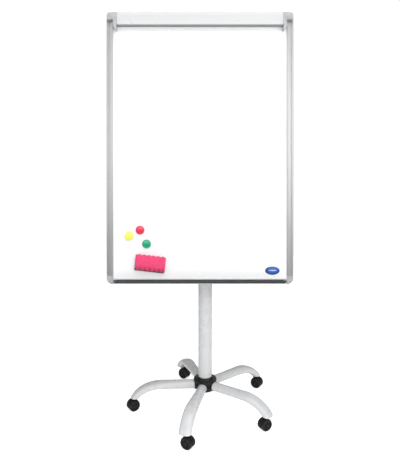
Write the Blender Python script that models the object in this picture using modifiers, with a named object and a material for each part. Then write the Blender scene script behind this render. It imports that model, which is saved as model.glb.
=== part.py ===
"""Mobile flipchart easel: a magnetic board with a paper clamp and a pen tray, held by a tilt
hinge on a telescopic column that stands on five bent legs with twin-wheel casters.

Metres, +Z up, the board's front faces -Y. The origin is on the floor, under the middle of the
whole easel. The board leans back by BOARD_LEAN at rest, and everything on it is modelled in the
board's own frame: X to the right, Y back through the board, Z up along it, from the hinge axis.
"""

import math

import bmesh
import bpy
from mathutils import Matrix, Vector

OBJECT_NAME = "flipchart_easel"
GAP = 0.0003  # clearance between pieces that touch
THROUGH = 0.004  # how far a cutter runs past the face that it leaves by

# Column. It stands a little to the right of the board's middle.
COLUMN_X = 0.021
COLUMN_Y = 0.013
LOWER_TUBE_RADIUS = 0.028
LOWER_TUBE_WALL = 0.0016
LOWER_TUBE_TOP = 0.536
UPPER_TUBE_RADIUS = 0.025
UPPER_TUBE_WALL = 0.0015
UPPER_TUBE_BOTTOM = 0.150
COLLAR_HEIGHT = 0.038
COLLAR_SLEEVE = 0.036
HEIGHT_KNOB_ABOVE_TUBE = 0.019

# Tilt hinge.
HINGE_Z = 0.940
BOARD_LEAN = math.radians(12.2)
HEAD_BELOW_HINGE = 0.0335
LUG_HALF_WIDTH = 0.015
LUG_RADIUS = 0.016
EAR_THICKNESS = 0.003
EAR_RADIUS = 0.018
BOLT_RADIUS = 0.004
BOLT_HOLE_RADIUS = 0.0044

# Base.
HUB_LIP_TOP = 0.1455
HUB_TOP = 0.1345
HUB_BOTTOM = 0.086
HUB_FLANGE_THICKNESS = 0.0125
HUB_FLANGE_RADIUS = 0.0472
HUB_BODY_RADIUS = 0.0375
HUB_FLOOR = 0.005
LEG_COUNT = 5
FIRST_LEG_ANGLE = math.radians(254.8)
LEG_Z = 0.109
LEG_START = 0.0305
LEG_BEND_START = 0.186
LEG_BEND_RADIUS = 0.136
LEG_END_Z = 0.050
LEG_WALL = 0.0018
LEG_ROUND_RADIUS = 0.0185
LEG_SIDES = 14
STEM_CIRCLE_RADIUS = 0.290

# Casters.
WHEEL_RADIUS = 0.0235
WHEEL_WIDTH = 0.0135
WHEEL_BORE = 0.0033
AXLE_RADIUS = 0.0030
WEB_HALF = 0.0037
WHEEL_START = 0.0040  # from the caster's middle plane to a wheel's inner face
CASTER_TRAIL = 0.012
HOOD_TOP = 0.0488
STEM_TOP = 0.0700
STEM_RADIUS = 0.0054
STEM_COLLAR_RADIUS = 0.0085
HOOD_BOSS_RADIUS = 0.0092
STEM_BOTTOM = 0.0345
STEM_TIP_RADIUS = 0.0025  # where the stem runs down between the wheels

# Board, in its own frame.
BOARD_WIDTH = 0.700
BOARD_HEIGHT = 1.0185
BOARD_BOTTOM = -0.3735
BOARD_TOP = BOARD_BOTTOM + BOARD_HEIGHT
FRAME_FRONT = -0.0625
FRAME_BACK = -0.0425
FRAME_FACE = 0.025
PANEL_FRONT = -0.0590
PANEL_BACK = -0.0490
PANEL_HALF_WIDTH = 0.338
PANEL_EDGE_INSET = 0.010
SHEET_THICKNESS = 0.0005
SLOT_FRONT = -0.0595
SLOT_BACK = -0.0485
SLOT_SIDE = 0.3385
CORNER_CAP_HEIGHT = 0.031
CORNER_CAP_RADIUS = 0.022

# Paper clamp, in the board's frame.
CLAMP_PIVOT_Y = -0.0700
CLAMP_PIVOT_Z = BOARD_TOP - 0.0115
CLAMP_HALF_LENGTH = 0.3095
CAP_INNER_X = 0.3100
CAP_NOSE_X = 0.3230
CAP_NOSE_HEIGHT = 0.0590
CAP_HEIGHT = 0.0728
CAP_FRONT = -0.0830
CAP_INSET = 0.0035  # how far the cap's raised face stands in from the board's side
CAP_SLOPE_START = -0.0610
CAP_SLOPE_DROP = 0.0100
CAP_CORNER_RADIUS = 0.0150  # of the raised face; the block behind it has a wider one
CAP_BLOCK_RADIUS = 0.0185
CAP_CORNER_HEIGHT = 0.032
CLAMP_RAIL_HEIGHT = 0.0682
PEG_X = 0.140
PEG_BELOW_TOP = 0.025

# Pen tray, in the board's frame.
TRAY_HALF_LENGTH = 0.3205
TRAY_FRONT = -0.1050
TRAY_BOTTOM = BOARD_BOTTOM + 0.0065
TRAY_TOP = BOARD_BOTTOM + 0.0162
TRAY_WALL = 0.0020
TRAY_SLANT = 0.0090

# Magnets and eraser: X on the board, height above the board's bottom edge.
MAGNET_RADIUS = 0.0166
MAGNET_THICKNESS = 0.0080
MAGNET_PLACES = {
    "magnet_red": (-0.2247, 0.2019),
    "magnet_yellow": (-0.2659, 0.1798),
    "magnet_green": (-0.2004, 0.1502),
}
ERASER_PLACE = (-0.1865, 0.0770)
ERASER_LENGTH = 0.114
ERASER_WIDTH = 0.0625
ERASER_THICKNESS = 0.020
ERASER_TURN = math.radians(6.4)
ERASER_SCALLOPS = 6
ERASER_SCALLOP_DEPTH = 0.0032

# Caster places round the hub, from the leg that points at the viewer, clockwise seen from above,
# and where each caster's wheels trail.
CASTER_HEADINGS = {
    "front": math.radians(-32),
    "left": math.radians(-146),
    "rear_left": math.radians(-36),
    "rear_right": math.radians(-34),
    "right": math.radians(-148),
}

# Colour (linear RGB), roughness and metallic of each material.
FINISHES = {
    "white_paint": ((0.75, 0.75, 0.75), 0.35, 0.0),
    "collar_plastic": ((0.62, 0.62, 0.62), 0.45, 0.0),
    "black_plastic": ((0.015, 0.015, 0.015), 0.5, 0.0),
    "zinc_steel": ((0.55, 0.55, 0.56), 0.35, 1.0),
    "aluminium": ((0.62, 0.63, 0.64), 0.38, 1.0),
    "cap_plastic": ((0.55, 0.56, 0.57), 0.5, 0.0),
    "clamp_white": ((0.85, 0.85, 0.85), 0.4, 0.0),
    "grip_rubber": ((0.25, 0.25, 0.25), 0.8, 0.0),
    "tray_plastic": ((0.045, 0.045, 0.045), 0.55, 0.0),
    "writing_lacquer": ((0.92, 0.92, 0.92), 0.15, 0.0),
    "fibreboard": ((0.35, 0.25, 0.16), 0.9, 0.0),
    "magnet_red": ((0.80, 0.02, 0.06), 0.3, 0.0),
    "magnet_yellow": ((0.85, 0.80, 0.08), 0.3, 0.0),
    "magnet_green": ((0.0, 0.45, 0.20), 0.3, 0.0),
    "eraser_foam": ((0.80, 0.05, 0.19), 0.8, 0.0),
}

SMOOTH_ANGLE = math.radians(35)


def clear_scene():
    for obj in list(bpy.data.objects):
        bpy.data.objects.remove(obj, do_unlink=True)


def new_collection(name):
    collection = bpy.data.collections.new(name)
    bpy.context.scene.collection.children.link(collection)
    return collection


def make_materials():
    made = {}
    for name, (colour, roughness, metallic) in FINISHES.items():
        finish = bpy.data.materials.new(name)
        finish.use_nodes = True
        shader = finish.node_tree.nodes["Principled BSDF"]
        shader.inputs["Base Color"].default_value = (*colour, 1.0)
        shader.inputs["Roughness"].default_value = roughness
        shader.inputs["Metallic"].default_value = metallic
        finish.diffuse_color = (*colour, 1.0)
        made[name] = finish
    return made


# Shapes. Each of these returns a mesh.


def mesh_from(build, name):
    """The mesh that build(bm) makes."""
    bm = bmesh.new()
    build(bm)
    mesh = bpy.data.meshes.new(name)
    bm.to_mesh(mesh)
    bm.free()
    return mesh


def box(name, low, high):
    low, high = Vector(low), Vector(high)

    def build(bm):
        place = Matrix.Translation((low + high) / 2) @ Matrix.Diagonal((*(high - low), 1))
        bmesh.ops.create_cube(bm, size=1, matrix=place)

    return mesh_from(build, name)


AXIS_TURNS = {
    "X": Matrix.Rotation(math.pi / 2, 4, "Y"),
    "Y": Matrix.Rotation(-math.pi / 2, 4, "X"),
    "Z": Matrix.Identity(4),
}


def rod(name, axis, centre, radius, start, end, sides=24):
    """A cylinder along an axis through centre, from start to end on that axis."""
    middle = Vector(centre)
    middle["XYZ".index(axis)] = (start + end) / 2

    def build(bm):
        bmesh.ops.create_cone(
            bm,
            cap_ends=True,
            segments=sides,
            radius1=radius,
            radius2=radius,
            depth=end - start,
            matrix=Matrix.Translation(middle) @ AXIS_TURNS[axis],
        )

    return mesh_from(build, name)


def evaluated_mesh(obj):
    """The object's mesh after its modifiers, with its seams welded. The object is removed."""
    bpy.context.view_layer.update()
    graph = bpy.context.evaluated_depsgraph_get()
    mesh = bpy.data.meshes.new_from_object(obj.evaluated_get(graph))
    bm = bmesh.new()
    bm.from_mesh(mesh)
    bmesh.ops.remove_doubles(bm, verts=bm.verts, dist=0.00001)
    bm.to_mesh(mesh)
    bm.free()
    bpy.data.objects.remove(obj, do_unlink=True)
    return mesh


def turned(name, profile, steps=32, closed=True):
    """A profile of (radius, height) turned round Z, listed down its outer side."""
    mesh = bpy.data.meshes.new(name)
    count = len(profile)
    edges = [(i, (i + 1) % count) for i in range(count if closed else count - 1)]
    mesh.from_pydata([(radius, 0, height) for radius, height in profile], edges, [])
    obj = bpy.data.objects.new(name, mesh)
    bpy.context.scene.collection.objects.link(obj)
    screw = obj.modifiers.new("turn", "SCREW")
    screw.steps = steps
    screw.render_steps = steps
    screw.use_merge_vertices = True
    screw.merge_threshold = 0.00005
    return evaluated_mesh(obj)


def rounded(corners, pieces=4):
    """An outline from (x, y, radius) corners, each rounded by an arc of that many pieces."""
    outline = []
    for i, (x, y, radius) in enumerate(corners):
        corner = Vector((x, y))
        if radius <= 0:
            outline.append(corner)
            continue
        before = (Vector(corners[i - 1][:2]) - corner).normalized()
        after = (Vector(corners[(i + 1) % len(corners)][:2]) - corner).normalized()
        half = before.angle(after) / 2
        centre = corner + (before + after).normalized() * (radius / math.sin(half))
        first = corner + before * (radius / math.tan(half)) - centre
        last = corner + after * (radius / math.tan(half)) - centre
        sweep = first.angle_signed(last)
        for step in range(pieces + 1):
            outline.append(centre + Matrix.Rotation(-sweep * step / pieces, 2) @ first)
    return outline


def extruded(name, outlines, start, end, axis):
    """Flat outlines, the later ones holes in the first, extruded along an axis.

    Their points are (Y, Z) for axis X, (X, Z) for axis Y and (X, Y) for axis Z.
    """
    curve = bpy.data.curves.new(name, "CURVE")
    curve.dimensions = "2D"
    curve.fill_mode = "BOTH"
    curve.extrude = (end - start) / 2
    for outline in outlines:
        spline = curve.splines.new("POLY")
        spline.points.add(len(outline) - 1)
        for point, (u, v) in zip(spline.points, outline):
            point.co = (u, v, 0, 1)
        spline.use_cyclic_u = True
    obj = bpy.data.objects.new(name, curve)
    bpy.context.scene.collection.objects.link(obj)
    mesh = evaluated_mesh(obj)
    middle = (start + end) / 2
    columns = {
        "X": (Vector((0, 1, 0)), Vector((0, 0, 1)), Vector((1, 0, 0))),
        "Y": (Vector((1, 0, 0)), Vector((0, 0, 1)), Vector((0, -1, 0))),
        "Z": (Vector((1, 0, 0)), Vector((0, 1, 0)), Vector((0, 0, 1))),
    }[axis]
    turn = Matrix(columns).transposed().to_4x4()
    lift = Vector((0, 0, 0))
    lift["XYZ".index(axis)] = middle
    mesh.transform(Matrix.Translation(lift) @ turn)
    return mesh


def lofted(name, rings):
    """A closed skin over rings of equally many points, with flat ends."""
    bm = bmesh.new()
    loops = [[bm.verts.new(point) for point in ring] for ring in rings]
    count = len(rings[0])
    for lower, upper in zip(loops, loops[1:]):
        for i in range(count):
            j = (i + 1) % count
            bm.faces.new((lower[i], lower[j], upper[j], upper[i]))
    bm.faces.new(reversed(loops[0]))
    bm.faces.new(loops[-1])
    bmesh.ops.recalc_face_normals(bm, faces=bm.faces)
    mesh = bpy.data.meshes.new(name)
    bm.to_mesh(mesh)
    bm.free()
    return mesh


def combined(name, mesh, steps):
    """The mesh after Boolean steps, each an operation and the mesh that it uses."""
    obj = bpy.data.objects.new(name, mesh)
    bpy.context.scene.collection.objects.link(obj)
    tools = []
    for operation, other in steps:
        tool = bpy.data.objects.new(name + "_tool", other)
        bpy.context.scene.collection.objects.link(tool)
        modifier = obj.modifiers.new(operation.lower(), "BOOLEAN")
        modifier.operation = operation
        modifier.object = tool
        tools.append(tool)
    result = evaluated_mesh(obj)
    for tool in tools:
        bpy.data.objects.remove(tool, do_unlink=True)
    return result


def mirrored_x(mesh):
    """The mesh's mirror image on the other side of X = 0."""
    copy = mesh.copy()
    copy.transform(Matrix.Diagonal((-1, 1, 1, 1)))
    copy.flip_normals()
    return copy


class Easel:
    """Places finished meshes in the scene as named objects."""

    def __init__(self):
        self.parts = new_collection(OBJECT_NAME)
        self.materials = make_materials()

    def empty(self, name, parent=None, location=(0, 0, 0), rotation=(0, 0, 0)):
        obj = bpy.data.objects.new(name, None)
        obj.empty_display_size = 0.03
        return self.place(obj, parent, location, rotation)

    def add(self, name, mesh, finish, parent, location=(0, 0, 0), rotation=(0, 0, 0)):
        mesh.name = name
        mesh.materials.clear()
        mesh.materials.append(self.materials[finish])
        mesh.shade_smooth()
        mesh.set_sharp_from_angle(angle=SMOOTH_ANGLE)
        obj = bpy.data.objects.new(name, mesh)
        return self.place(obj, parent, location, rotation)

    def place(self, obj, parent, location, rotation):
        obj.parent = parent
        obj.location = location
        obj.rotation_euler = rotation
        self.parts.objects.link(obj)
        return obj


# Base.


def hub_mesh():
    flange_bottom = HUB_TOP - HUB_FLANGE_THICKNESS
    bore = LOWER_TUBE_RADIUS + GAP
    profile = [
        (bore + 0.0022, HUB_LIP_TOP),
        (bore + 0.0075, HUB_TOP + 0.0035),
        (HUB_FLANGE_RADIUS - 0.003, HUB_TOP),
        (HUB_FLANGE_RADIUS, HUB_TOP - 0.003),
        (HUB_FLANGE_RADIUS, flange_bottom),
        (HUB_BODY_RADIUS + 0.002, flange_bottom - 0.003),
        (HUB_BODY_RADIUS, flange_bottom - 0.010),
        (HUB_BODY_RADIUS, HUB_BOTTOM),
        (0.0060, HUB_BOTTOM),
        (0.0060, HUB_BOTTOM + HUB_FLOOR),
        (bore, HUB_BOTTOM + HUB_FLOOR),
        (bore, HUB_LIP_TOP),
    ]
    sockets = []
    for i in range(LEG_COUNT):
        socket = rod(
            "socket", "X", (0, 0, LEG_Z), LEG_ROUND_RADIUS + 2 * GAP, LEG_START - GAP, 0.060, 16
        )
        socket.transform(Matrix.Rotation(leg_angle(i), 4, "Z"))
        sockets.append(("DIFFERENCE", socket))
    return combined("hub", turned("hub", profile, 24), sockets)


def leg_angle(i):
    """Legs follow each other clockwise, seen from above."""
    return FIRST_LEG_ANGLE - i * math.tau / LEG_COUNT


def leg_size(along):
    """Half width and half height of the leg's oval, from 0 at the hub to 1 at its end."""
    flatten = min(max((along - 0.10) / 0.50, 0), 1)
    flatten = flatten * flatten * (3 - 2 * flatten)
    taper = max(along - 0.65, 0) / 0.35
    half_width = LEG_ROUND_RADIUS + 0.0050 * flatten - 0.0025 * taper
    half_height = LEG_ROUND_RADIUS - 0.0035 * flatten - 0.0005 * taper
    return half_width, half_height


def leg_rings(inset, start, end_z):
    """Ovals along the leg, which lies along +X, and the last one cut level at end_z."""
    stations = [(r, LEG_Z, 0.0) for r in (start, 0.065, 0.115, LEG_BEND_START - 0.020)]
    for degrees in (4, 18, 32, 46):
        turn = math.radians(degrees)
        r = LEG_BEND_START + LEG_BEND_RADIUS * math.sin(turn)
        z = LEG_Z - LEG_BEND_RADIUS * (1 - math.cos(turn))
        stations.append((r, z, turn))
    rings = []
    for i, (r, z, turn) in enumerate(stations):
        half_width, half_height = leg_size(i / len(stations))
        ring = []
        for side in range(LEG_SIDES):
            angle = math.tau * side / LEG_SIDES
            across = (half_width - inset) * math.cos(angle)
            up = (half_height - inset) * math.sin(angle)
            ring.append((r + up * math.sin(turn), across, z + up * math.cos(turn)))
        rings.append(ring)
    half_width, half_height = leg_size(1)
    r, z, turn = stations[-1]
    slope = turn + math.radians(8)
    end_r = r + (z - end_z) / math.tan(slope)
    half_length = half_height / math.sin(slope)
    ring = []
    for side in range(LEG_SIDES):
        angle = math.tau * side / LEG_SIDES
        across = (half_width - inset) * math.cos(angle)
        ring.append((end_r + (half_length - inset) * math.sin(angle), across, end_z))
    rings.append(ring)
    return rings


def leg_mesh():
    """A bent tube, flattened towards its open end, with the caster's socket welded inside."""
    skin = lofted("leg", leg_rings(0, LEG_START, LEG_END_Z))
    hollow = lofted("hollow", leg_rings(LEG_WALL, LEG_START + LEG_WALL, LEG_END_Z - THROUGH))
    centre = (STEM_CIRCLE_RADIUS, 0, 0)
    socket = rod("socket", "Z", centre, 0.0085, LEG_END_Z - 2 * THROUGH, LEG_Z, 12)
    hollow = combined("hollow", hollow, [("DIFFERENCE", socket)])
    bore = rod("bore", "Z", centre, 0.0060, LEG_END_Z - 2 * THROUGH, STEM_TOP + 0.0005, 12)
    return combined("leg", skin, [("DIFFERENCE", hollow), ("DIFFERENCE", bore)])


def hub_bolt_mesh():
    """A bolt with its wide washer, which pulls the column down into the hub."""
    washer_top = HUB_BOTTOM - GAP
    washer = rod("hub_bolt", "Z", (0, 0, 0), 0.022, washer_top - 0.0025, washer_top, 24)
    head = rod("head", "Z", (0, 0, 0), 0.0095, washer_top - 0.009, washer_top - 0.002, 6)
    shank = rod("shank", "Z", (0, 0, 0), 0.005, washer_top - 0.001, HUB_BOTTOM + 0.028, 12)
    return combined("hub_bolt", washer, [("UNION", head), ("UNION", shank)])


def build_base(easel, column):
    easel.add("hub", hub_mesh(), "black_plastic", column)
    easel.add("hub_bolt", hub_bolt_mesh(), "zinc_steel", column)
    leg = leg_mesh()
    for i, place in enumerate(CASTER_HEADINGS):
        easel.add(f"{place}_leg", leg.copy(), "white_paint", column, (0, 0, 0), (0, 0, leg_angle(i)))


# Casters. A caster's own frame has its stem on Z and its wheels trailing along +X.


def stem_mesh():
    collar_bottom = HOOD_TOP + GAP
    collar_top = LEG_END_Z - GAP
    profile = [
        (0.0, STEM_TOP),
        (STEM_RADIUS, STEM_TOP),
        (STEM_RADIUS, collar_top),
        (STEM_COLLAR_RADIUS, collar_top),
        (STEM_COLLAR_RADIUS, collar_bottom),
        (STEM_TIP_RADIUS, collar_bottom),
        (STEM_TIP_RADIUS, STEM_BOTTOM),
        (0.0, STEM_BOTTOM),
    ]
    return turned("stem", profile, 12, closed=False)


def hood_mesh():
    """A web between the wheels, a mudguard over them and a boss for the stem."""
    axle = Vector((CASTER_TRAIL, WHEEL_RADIUS))
    inner, outer = WHEEL_RADIUS + 0.0008, WHEEL_RADIUS + 0.0020
    under = WHEEL_RADIUS * 2 + 0.0005
    angles = [math.radians(28 + 148 * i / 10) for i in range(11)]
    arch = [axle + outer * Vector((math.cos(a), math.sin(a))) for a in angles]
    arch += [axle + inner * Vector((math.cos(a), math.sin(a))) for a in reversed(angles)]
    web_angles = [math.radians(10 + 184 * i / 8) for i in range(9)]
    web = [axle + (inner + 0.001) * Vector((math.cos(a), math.sin(a))) for a in web_angles]
    web += [
        axle + Vector((-0.012, -0.011)),
        axle + Vector((0.0, -0.0115)),
        axle + Vector((0.010, -0.009)),
    ]
    guard_half = WHEEL_START + WHEEL_WIDTH / 2
    guard = extruded("guard", [arch], -guard_half, guard_half, "Y")
    plate = extruded("plate", [web], -WEB_HALF, WEB_HALF, "Y")
    boss = turned(
        "boss",
        [
            (0.0, HOOD_TOP),
            (HOOD_BOSS_RADIUS, HOOD_TOP),
            (HOOD_BOSS_RADIUS, under),
            (0.0, under),
        ],
        14,
        closed=False,
    )
    hole_radius, hole_top = STEM_TIP_RADIUS + GAP, HOOD_TOP + THROUGH
    stem_hole = rod("stem_hole", "Z", (0, 0, 0), hole_radius, STEM_BOTTOM - GAP, hole_top, 12)
    axle_place = (CASTER_TRAIL, 0, WHEEL_RADIUS)
    axle_hole = rod("axle_hole", "Y", axle_place, 0.0034, -0.010, 0.010, 12)
    steps = [
        ("UNION", plate),
        ("UNION", boss),
        ("DIFFERENCE", stem_hole),
        ("DIFFERENCE", axle_hole),
    ]
    return combined("hood", guard, steps)


def wheel_mesh():
    """A wheel turned round Z, from its inner face at 0 to its dished outer face."""
    width, radius = WHEEL_WIDTH, WHEEL_RADIUS
    profile = [
        (radius - 0.0065, width - 0.0022),
        (radius - 0.0050, width),
        (radius - 0.0020, width),
        (radius, width - 0.0018),
        (radius, 0.0010),
        (radius - 0.0010, 0.0),
        (WHEEL_BORE, 0.0),
        (WHEEL_BORE, width - 0.0022),
    ]
    return turned("wheel", profile, 20)


def build_caster(easel, column, place, leg_turn, heading, meshes):
    stem_at = (
        STEM_CIRCLE_RADIUS * math.cos(leg_turn),
        STEM_CIRCLE_RADIUS * math.sin(leg_turn),
        0,
    )
    swivel = easel.empty(f"{place}_swivel", column, stem_at, (0, 0, heading))
    name = f"{place}_caster"
    easel.add(f"{name}_stem", meshes["stem"].copy(), "zinc_steel", swivel)
    easel.add(f"{name}_hood", meshes["hood"].copy(), "black_plastic", swivel)
    axle_at = (CASTER_TRAIL, 0, WHEEL_RADIUS)
    easel.add(f"{name}_axle", meshes["axle"].copy(), "zinc_steel", swivel, axle_at)
    for side, facing in (("right", -1), ("left", 1)):
        hub_at = (CASTER_TRAIL, facing * WHEEL_START, WHEEL_RADIUS)
        easel.add(
            f"{name}_wheel_{side}",
            meshes["wheel"].copy(),
            "black_plastic",
            swivel,
            hub_at,
            (-facing * math.pi / 2, 0, 0),
        )


def build_casters(easel, column):
    half_axle = WHEEL_START + WHEEL_WIDTH - 0.0035
    meshes = {
        "stem": stem_mesh(),
        "hood": hood_mesh(),
        "axle": rod("axle", "Y", (0, 0, 0), AXLE_RADIUS, -half_axle, half_axle, 12),
        "wheel": wheel_mesh(),
    }
    for i, (place, heading) in enumerate(CASTER_HEADINGS.items()):
        build_caster(easel, column, place, leg_angle(i), heading, meshes)
    for mesh in meshes.values():
        bpy.data.meshes.remove(mesh)


# Column.


def lower_tube_mesh():
    bottom = HUB_BOTTOM + HUB_FLOOR + GAP
    inner = LOWER_TUBE_RADIUS - LOWER_TUBE_WALL
    plate_top = bottom + 0.003
    profile = [
        (LOWER_TUBE_RADIUS, LOWER_TUBE_TOP - GAP),
        (LOWER_TUBE_RADIUS, bottom),
        (0.0056, bottom),
        (0.0056, plate_top),
        (inner, plate_top),
        (inner, LOWER_TUBE_TOP - GAP),
    ]
    return turned("lower_tube", profile, 32)


def collar_mesh():
    """The bush in the lower tube's mouth, with a threaded boss at the back for the knob."""
    top = LOWER_TUBE_TOP + COLLAR_HEIGHT
    outer = LOWER_TUBE_RADIUS + 0.0004
    sleeve = LOWER_TUBE_RADIUS - LOWER_TUBE_WALL - GAP
    inner = UPPER_TUBE_RADIUS + GAP
    profile = [
        (outer - 0.0010, top),
        (outer, top - 0.0015),
        (outer, LOWER_TUBE_TOP),
        (sleeve, LOWER_TUBE_TOP),
        (sleeve, LOWER_TUBE_TOP - COLLAR_SLEEVE),
        (inner, LOWER_TUBE_TOP - COLLAR_SLEEVE),
        (inner, top),
    ]
    centre = (0, 0, LOWER_TUBE_TOP + HEIGHT_KNOB_ABOVE_TUBE)
    boss = rod("boss", "Y", centre, 0.010, 0.0265, 0.0400, 16)
    hole = rod("hole", "Y", centre, BOLT_HOLE_RADIUS, 0.015, 0.045, 16)
    ring = turned("column_collar", profile, 32)
    return combined("column_collar", ring, [("UNION", boss), ("DIFFERENCE", hole)])


def star(radius, lobes=6, points=36):
    """The outline of a star knob."""
    outline = []
    for i in range(points):
        angle = math.tau * i / points
        reach = radius * (0.90 + 0.10 * math.cos(lobes * angle))
        outline.append((reach * math.cos(angle), reach * math.sin(angle)))
    return outline


def height_knob_mesh():
    """A star knob with its stud, along +Y from the column's axis."""
    grip = extruded("grip", [star(0.0225)], 0.0440, 0.0580, "Y")
    boss = rod("boss", "Y", (0, 0, 0), 0.011, 0.0404, 0.0450, 20)
    stud = rod("stud", "Y", (0, 0, 0), BOLT_RADIUS, UPPER_TUBE_RADIUS + GAP, 0.046, 12)
    return combined("height_knob", grip, [("UNION", boss), ("UNION", stud)])


def upper_tube_mesh():
    top = HINGE_Z - HEAD_BELOW_HINGE
    inner = UPPER_TUBE_RADIUS - UPPER_TUBE_WALL
    profile = [
        (UPPER_TUBE_RADIUS, top),
        (UPPER_TUBE_RADIUS, UPPER_TUBE_BOTTOM),
        (inner, UPPER_TUBE_BOTTOM),
        (inner, top),
    ]
    return turned("upper_tube", profile, 32)


def mast_head_mesh():
    """The plug in the upper tube's top, with the lug that the hinge bolt runs through."""
    cap_bottom = HINGE_Z - HEAD_BELOW_HINGE + GAP
    plug = UPPER_TUBE_RADIUS - UPPER_TUBE_WALL - GAP
    profile = [
        (0.0, cap_bottom + 0.005),
        (UPPER_TUBE_RADIUS - 0.001, cap_bottom + 0.005),
        (UPPER_TUBE_RADIUS, cap_bottom + 0.004),
        (UPPER_TUBE_RADIUS, cap_bottom),
        (plug, cap_bottom),
        (plug, cap_bottom - 0.028),
        (0.0, cap_bottom - 0.028),
    ]
    steps = 12
    lug = [(LUG_RADIUS, cap_bottom + 0.002)]
    for i in range(steps + 1):
        angle = math.pi * i / steps
        lug.append((LUG_RADIUS * math.cos(angle), HINGE_Z + LUG_RADIUS * math.sin(angle)))
    lug.append((-LUG_RADIUS, cap_bottom + 0.002))
    tongue = extruded("tongue", [lug], -LUG_HALF_WIDTH, LUG_HALF_WIDTH, "X")
    hole = rod("hole", "X", (0, 0, HINGE_Z), BOLT_HOLE_RADIUS, -0.03, 0.03, 16)
    cap = turned("mast_head", profile, 24, closed=False)
    return combined("mast_head", cap, [("UNION", tongue), ("DIFFERENCE", hole)])


def build_column(easel, column):
    easel.add("lower_tube", lower_tube_mesh(), "white_paint", column)
    easel.add("column_collar", collar_mesh(), "collar_plastic", column)
    knob_at = (0, 0, LOWER_TUBE_TOP + HEIGHT_KNOB_ABOVE_TUBE)
    easel.add("height_knob", height_knob_mesh(), "black_plastic", column, knob_at)
    easel.add("upper_tube", upper_tube_mesh(), "white_paint", column)
    easel.add("mast_head", mast_head_mesh(), "black_plastic", column)


# Tilt hinge. Its pieces are in the board's frame, COLUMN_X to the right of the board's middle.


def tilt_bracket_mesh():
    """A U of sheet steel on the crossbar, whose two ears hold the hinge bolt."""
    inner = LUG_HALF_WIDTH + 0.0015
    outer = inner + EAR_THICKNESS
    plate_front, plate_back = -0.0217, -0.0187
    plate = box("tilt_bracket", (-outer, plate_front, -0.025), (outer, plate_back, 0.025))
    steps = 12
    outline = [(plate_front + 0.001, -EAR_RADIUS)]
    for i in range(steps + 1):
        angle = -math.pi / 2 + math.pi * i / steps
        outline.append((EAR_RADIUS * math.cos(angle), EAR_RADIUS * math.sin(angle)))
    outline.append((plate_front + 0.001, EAR_RADIUS))
    steps = []
    for start in (-outer, inner):
        ear = extruded("ear", [outline], start, start + EAR_THICKNESS, "X")
        steps.append(("UNION", ear))
    hole = rod("hole", "X", (0, 0, 0), BOLT_HOLE_RADIUS, -0.03, 0.03, 16)
    steps.append(("DIFFERENCE", hole))
    return combined("tilt_bracket", plate, steps)


def tilt_bolt_mesh():
    ear = LUG_HALF_WIDTH + 0.0015 + EAR_THICKNESS + GAP
    head = rod("tilt_bolt", "X", (0, 0, 0), 0.0072, -ear - 0.0055, -ear, 6)
    shank = rod("shank", "X", (0, 0, 0), BOLT_RADIUS, -ear - 0.001, ear + 0.013, 16)
    return combined("tilt_bolt", head, [("UNION", shank)])


def tilt_knob_mesh():
    ear = LUG_HALF_WIDTH + 0.0015 + EAR_THICKNESS + GAP
    grip = extruded("tilt_knob", [star(0.0200)], ear + 0.006, ear + 0.020, "X")
    boss = rod("boss", "X", (0, 0, 0), 0.010, ear, ear + 0.007, 20)
    thread = rod("thread", "X", (0, 0, 0), BOLT_HOLE_RADIUS, ear - THROUGH, ear + 0.0135, 16)
    return combined("tilt_knob", grip, [("UNION", boss), ("DIFFERENCE", thread)])


def crossbar_mesh():
    """A flat tube behind the board, from one side profile to the other."""
    front, back, half = FRAME_BACK + 0.0005, -0.0220, 0.020
    wall = 0.002
    corners = ((front, -half), (back, -half), (back, half), (front, half))
    skin = rounded([(*corner, 0.003) for corner in corners])
    hollow = rounded(
        [
            (front + wall, -half + wall, 0.0012),
            (back - wall, -half + wall, 0.0012),
            (back - wall, half - wall, 0.0012),
            (front + wall, half - wall, 0.0012),
        ],
        2,
    )
    return extruded("crossbar", [skin, hollow], -PANEL_HALF_WIDTH, PANEL_HALF_WIDTH, "X")


def build_hinge(easel, board, hinge):
    easel.add("tilt_bracket", tilt_bracket_mesh(), "zinc_steel", hinge)
    easel.add("tilt_bolt", tilt_bolt_mesh(), "zinc_steel", hinge)
    easel.add("tilt_knob", tilt_knob_mesh(), "black_plastic", hinge)
    easel.add("crossbar", crossbar_mesh(), "aluminium", board)


# Board.


def panel_clearance(name):
    """The space that the panel takes, with the slots' play round it."""
    low = (-SLOT_SIDE, SLOT_FRONT, BOARD_BOTTOM + PANEL_EDGE_INSET - 0.0005)
    high = (SLOT_SIDE, SLOT_BACK, BOARD_TOP - 0.006)
    return box(name, low, high)


def side_profile_mesh():
    """The right-hand frame extrusion: a channel round the panel's edge, grooved on its face."""
    outer = BOARD_WIDTH / 2
    inner = outer - FRAME_FACE
    groove = outer - 0.0076
    outline = rounded(
        [
            (inner, FRAME_FRONT, 0.0008),
            (groove - 0.0007, FRAME_FRONT, 0),
            (groove, FRAME_FRONT + 0.0008, 0),
            (groove + 0.0007, FRAME_FRONT, 0),
            (outer, FRAME_FRONT, 0.0055),
            (outer, FRAME_BACK, 0.0030),
            (inner, FRAME_BACK, 0.0008),
            (inner, SLOT_BACK, 0),
            (SLOT_SIDE, SLOT_BACK, 0),
            (SLOT_SIDE, SLOT_FRONT, 0),
            (inner, SLOT_FRONT, 0),
        ]
    )
    low = BOARD_BOTTOM + CORNER_CAP_HEIGHT + GAP
    high = BOARD_TOP - CAP_CORNER_HEIGHT - GAP
    return extruded("side_profile_right", [outline], low, high, "Z")


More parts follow.
